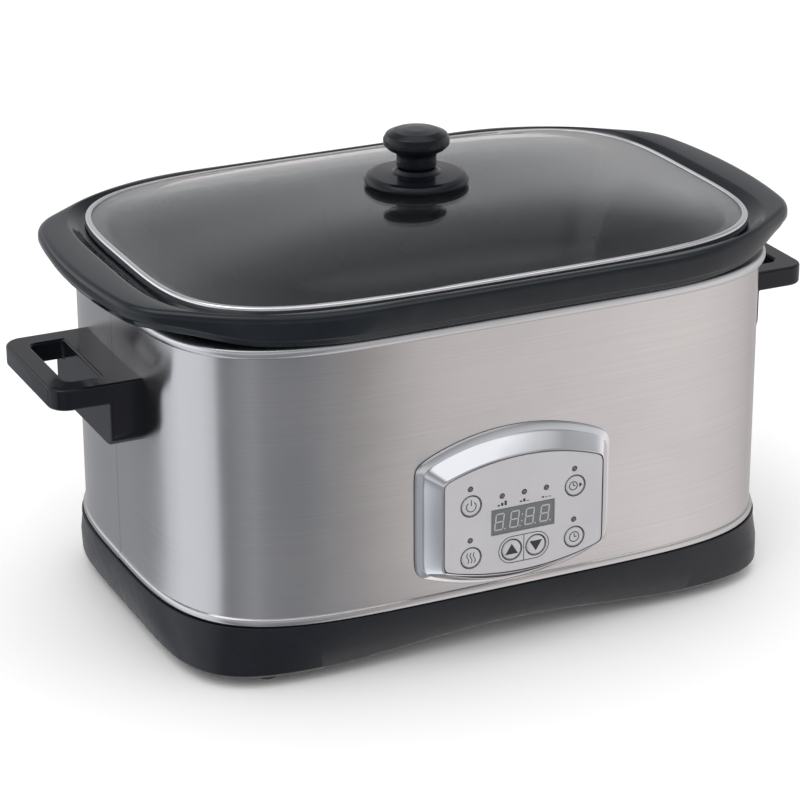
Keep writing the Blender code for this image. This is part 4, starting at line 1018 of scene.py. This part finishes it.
def display():
    """Lens with four unlit digits and a colon."""
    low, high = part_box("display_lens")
    plate = flat_shape(bar(low.x, high.x, low.z, high.z), low.y, high.y - low.y)
    lens = add("window_lens", plate, "display_window")
    shade(lens, 0.15 * MM, 2)
    stands_for(lens, "housing", "display_lens")
    y = low.y - 0.04 * MM
    tall, wide, pitch, lean = 9.4 * MM, 4.9 * MM, 9.3 * MM, 0.12
    gap, half = 0.12 * MM, 0.72 * MM / 2        # between segments, and half a segment's width
    middle_x, middle_z = (low.x + high.x) / 2 - 0.6 * MM, (low.z + high.z) / 2
    shapes = []

    def slanted(points, x):
        return [(x + a + lean * b, middle_z + b) for a, b in points]

    def level(x0, x1, z):
        return [(x0, z), (x0 + half, z - half), (x1 - half, z - half), (x1, z), (x1 - half, z + half),
                (x0 + half, z + half)]

    def upright(x, z0, z1):
        return [(x, z0), (x + half, z0 + half), (x + half, z1 - half), (x, z1), (x - half, z1 - half),
                (x - half, z0 + half)]

    places = [(i - 1.5) * pitch for i in range(4)]
    a, h = wide / 2, tall / 2
    for place in places:
        x = middle_x + place
        for z in (-h, 0, h):
            shapes.append(slanted(level(-a + gap, a - gap, z), x))
        for sx in (-a, a):
            for z0, z1 in ((-h, 0), (0, h)):
                shapes.append(slanted(upright(sx, z0 + gap, z1 - gap), x))
    dots = [(0, -1.9 * MM), (0, 1.9 * MM)] + [(place + 3.9 * MM, -h) for place in places]
    for x, z in dots:
        shapes.append(slanted(arc_points(x, z, 0.45 * MM, steps=16), middle_x))
    digits = add("window_digits", merged([flat_shape(s, y) for s in shapes]), "silver_plastic", "ink_pale")
    stands_for(digits, "housing")


def prints():
    """Marks on the faceplate: rings, the slot round the arrows, heat-level bars and the window's border."""
    y = FACE_Y - 0.05 * MM
    marks = []
    for name in KEYS:
        x, z = centre(name)
        marks.append(flat_ring(arc_points(x, z, 6.55 * MM), arc_points(x, z, 6.08 * MM), y))
    outer, inner = ([(x, z) for x, _, z in panel_ring(FACE_OUTLINE, y, inset * MM)]
                    for inset in (-0.02, -0.36))
    marks.append(flat_ring(outer, inner, y))
    left, right = centre("key_up"), centre("key_down")
    x, z = (left[0] + right[0]) / 2, left[1]
    half = (right[0] - left[0]) / 2
    marks.append(flat_ring(stadium(x, z, half, 8.15 * MM), stadium(x, z, half, 7.7 * MM), y))
    marks.append(flat_shape(bar(x - 0.22 * MM, x + 0.22 * MM, z - 7.8 * MM, z + 7.8 * MM), y))
    for name, count in (("lamp_left", 3), ("lamp_middle", 2), ("lamp_right", 1)):
        x, z = centre(name)
        for i in range(3):
            left_x, foot_z = x + (i - 1) * 2.1 * MM - 0.7 * MM, z - 5.8 * MM
            tall = (0.9 + 0.9 * i) * MM if i < count else 0.45 * MM
            marks.append(flat_shape(bar(left_x, left_x + 1.4 * MM, foot_z, foot_z + tall), y))
    obj = add("panel_prints", merged(marks), "silver_plastic", "ink_dark")
    stands_for(obj, "housing")
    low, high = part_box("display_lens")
    gap, line = 0.32 * MM, 0.45 * MM
    outer, inner = (bar(low.x - out, high.x + out, low.z - out, high.z + out) for out in (gap + line, gap))
    border = add("window_border", flat_ring(outer, inner, y), "silver_plastic", "ink_pale")
    stands_for(border, "housing")


# ============================== CAD nodes that stay ==============================

def dress_frame():
    """Give every CAD node that stays its detailed finish."""
    for node in frame["nodes"].values():
        for slot in node.material_slots:
            name = slot.material.name if slot.material else ""
            found = next((key for key in LOOKS if name.startswith(key)), None)
            if found:
                slot.material = LOOKS[found]


# ============================== stage, light and camera ==============================

def floor():
    bm = bmesh.new()
    half = 6.0
    bm.faces.new([bm.verts.new((x, y, 0)) for x, y in bar(-half, half, -half, half)])
    look = Shader("pale_floor", (0.96, 0.96, 0.96), 0.65)
    look.rough(look.span(look.noise(3), 0.6, 0.7))
    mesh = bpy.data.meshes.new("floor")
    bm.to_mesh(mesh)
    bm.free()
    obj = bpy.data.objects.new("floor", mesh)
    bpy.context.scene.collection.objects.link(obj)
    mesh.materials.append(look.material)
    obj.visible_glossy = False


# Brightness of the studio at and below eye level, by bearing left of the panel's direction in degrees
LIGHT_BANDS = (
    (-180, 0.45), (-110, 0.60), (-88, 0.74), (-64, 0.85), (-46, 0.93), (-34, 0.93), (-29, 0.86),
    (-26, 0.77), (-24.4, 0.68), (-22.5, 0.46), (-19, 0.37), (-9, 0.31), (0, 0.26), (12, 0.27), (24, 0.30),
    (34, 0.37), (44, 0.34), (60, 0.27), (68, 0.32), (76, 0.74), (90, 0.90), (118, 0.94), (133, 0.78),
    (142, 0.42), (152, 0.32), (162, 0.36), (180, 0.45),
)
WARM, COOL, COOL_FROM = (1.04, 0.985, 0.98), (0.96, 0.99, 1.06), -16
# Brightness above eye level, by elevation in degrees
SKY_LEVELS = ((-3, 0.66), (8, 0.66), (22, 0.57), (34, 0.36), (46, 0.3), (54, 0.6), (62, 1.05), (90, 1.1))
# Side lights above eye level, as a gain by bearing, and the scale that keeps the gains below 1 in a ramp
SIDE_LIGHTS = ((-180, 1.0), (-120, 0.9), (-95, 1.35), (-70, 1.2), (-40, 0.9), (60, 0.9), (95, 2.0),
               (150, 2.2), (168, 1.1), (180, 1.0))
SIDE_SCALE = 2.5


def world():
    """Studio round the object: white to the eye, banded for the reflections."""
    made = bpy.data.worlds.new("studio")
    bpy.context.scene.world = made
    made.use_nodes = True
    tree = made.node_tree
    tree.nodes.clear()
    link = tree.links.new
    where = tree.nodes.new("ShaderNodeTexCoord")
    parts = tree.nodes.new("ShaderNodeSeparateXYZ")
    link(where.outputs["Generated"], parts.inputs[0])

    def maths(operation, a, b=None):
        node = tree.nodes.new("ShaderNodeMath")
        node.operation = operation
        for socket, value in zip(node.inputs, (a, b)):
            if value is None:
                continue
            if isinstance(value, (int, float)):
                socket.default_value = value
            else:
                link(value, socket)
        return node.outputs[0]

    def vector_maths(operation, *outputs):
        node = tree.nodes.new("ShaderNodeVectorMath")
        node.operation = operation
        for socket, output in zip(node.inputs, outputs):
            link(output, socket)
        return node

    def background(strength):
        node = tree.nodes.new("ShaderNodeBackground")
        node.inputs["Color"].default_value = (1, 1, 1, 1)
        node.inputs["Strength"].default_value = strength
        return node

    def mixed(factor, first, second):
        node = tree.nodes.new("ShaderNodeMixShader")
        for socket, output in zip(node.inputs, (factor, first, second)):
            link(output, socket)
        return node.outputs[0]

    def by_bearing(bearing):
        return 0.5 + bearing / 360

    # share of a turn: 0.5 straight ahead of the panel, growing towards the left end and on to the rear
    ahead, left = (maths("MULTIPLY", parts.outputs[axis], -1.0) for axis in "YX")
    share = maths("ADD", maths("DIVIDE", maths("ARCTAN2", left, ahead), 2 * math.pi), 0.5)
    bands = [(by_bearing(bearing), tuple(v * t for t in (COOL if bearing > COOL_FROM else WARM)))
             for bearing, v in LIGHT_BANDS]
    height = maths("ADD", maths("MULTIPLY", parts.outputs["Z"], 0.5), 0.5)
    levels = [((1 + math.sin(math.radians(at))) / 2, (v, v, v * 1.03)) for at, v in SKY_LEVELS]
    gains = [(by_bearing(bearing), (v / SIDE_SCALE,) * 3) for bearing, v in SIDE_LIGHTS]
    sky = vector_maths("MULTIPLY", colour_ramp(tree, height, levels), colour_ramp(tree, share, gains))
    gain = vector_maths("SCALE", sky.outputs[0])
    gain.inputs["Scale"].default_value = SIDE_SCALE
    # the bands fade into the sky from 3 degrees below the horizon to 9 degrees above it
    blend = maths("MULTIPLY", maths("ADD", parts.outputs["Z"], 0.05), 5.0)
    clamped = tree.nodes.new("ShaderNodeClamp")
    link(blend, clamped.inputs["Value"])
    banded = tree.nodes.new("ShaderNodeMix")
    banded.data_type = "RGBA"
    link(clamped.outputs["Result"], banded.inputs["Factor"])
    link(colour_ramp(tree, share, bands), banded.inputs["A"])
    link(gain.outputs[0], banded.inputs["B"])
    rays = tree.nodes.new("ShaderNodeLightPath")
    gloss = maths("MAXIMUM", rays.outputs["Is Glossy Ray"], rays.outputs["Is Transmission Ray"])
    mirror, soft, white = background(1.0), background(1.10), background(1.0)
    link(banded.outputs["Result"], mirror.inputs["Color"])
    unseen = mixed(gloss, soft.outputs[0], mirror.outputs[0])
    out = tree.nodes.new("ShaderNodeOutputWorld")
    link(mixed(rays.outputs["Is Camera Ray"], unseen, white.outputs[0]), out.inputs["Surface"])


def lamp_panel(name, at, aim, size, power, colour=(1, 1, 1), glossy=True):
    light = bpy.data.lights.new(name, "AREA")
    light.shape = "RECTANGLE"
    light.size, light.size_y = size
    light.energy = power
    light.color = colour
    obj = bpy.data.objects.new(name, light)
    obj.location = at
    obj.rotation_euler = (Vector(aim) - Vector(at)).to_track_quat("-Z", "Y").to_euler()
    obj.visible_glossy = glossy
    bpy.context.scene.collection.objects.link(obj)


def lights():
    middle = (0, 0, 0.12)
    lamp_panel("key_light", (-0.9, -1.2, 2.2), middle, (1.6, 1.2), 9, glossy=False)
    lamp_panel("top_light", (0.2, 0.1, 2.4), middle, (2.0, 1.4), 6, glossy=False)
    bpy.context.scene.view_settings.view_transform = "Standard"


def camera():
    """Three-quarter view from the front left, a little above."""
    azimuth, elevation, roll = (math.radians(v) for v in (-25.1275, 22.1961, -0.2274))
    flat = math.cos(elevation)
    back = Vector((math.sin(azimuth) * flat, -math.cos(azimuth) * flat, math.sin(elevation)))
    right = (-back).cross(Vector((0, 0, 1))).normalized()
    up = right.cross(-back)
    across = right * math.cos(roll) + up * math.sin(roll)
    upward = -right * math.sin(roll) + up * math.cos(roll)
    lens = bpy.data.cameras.new("camera")
    lens.lens = 135.32
    lens.sensor_width = 36
    obj = bpy.data.objects.new("camera", lens)
    bpy.context.scene.collection.objects.link(obj)
    pose = Matrix((across, upward, back)).transposed().to_4x4()
    pose.translation = (-0.70251, -1.47459, 0.76860)
    obj.matrix_world = pose
    bpy.context.scene.camera = obj


def main():
    base()
    wraps()
    liner()
    crock()
    lid()
    band()
    knob()
    handle("grip_left", -1, "handle_left")
    handle("grip_right", 1, "handle_right")
    bezel()
    face()
    keys()
    lamps()
    display()
    prints()
    dress_frame()
    floor()
    world()
    lights()
    camera()


main()
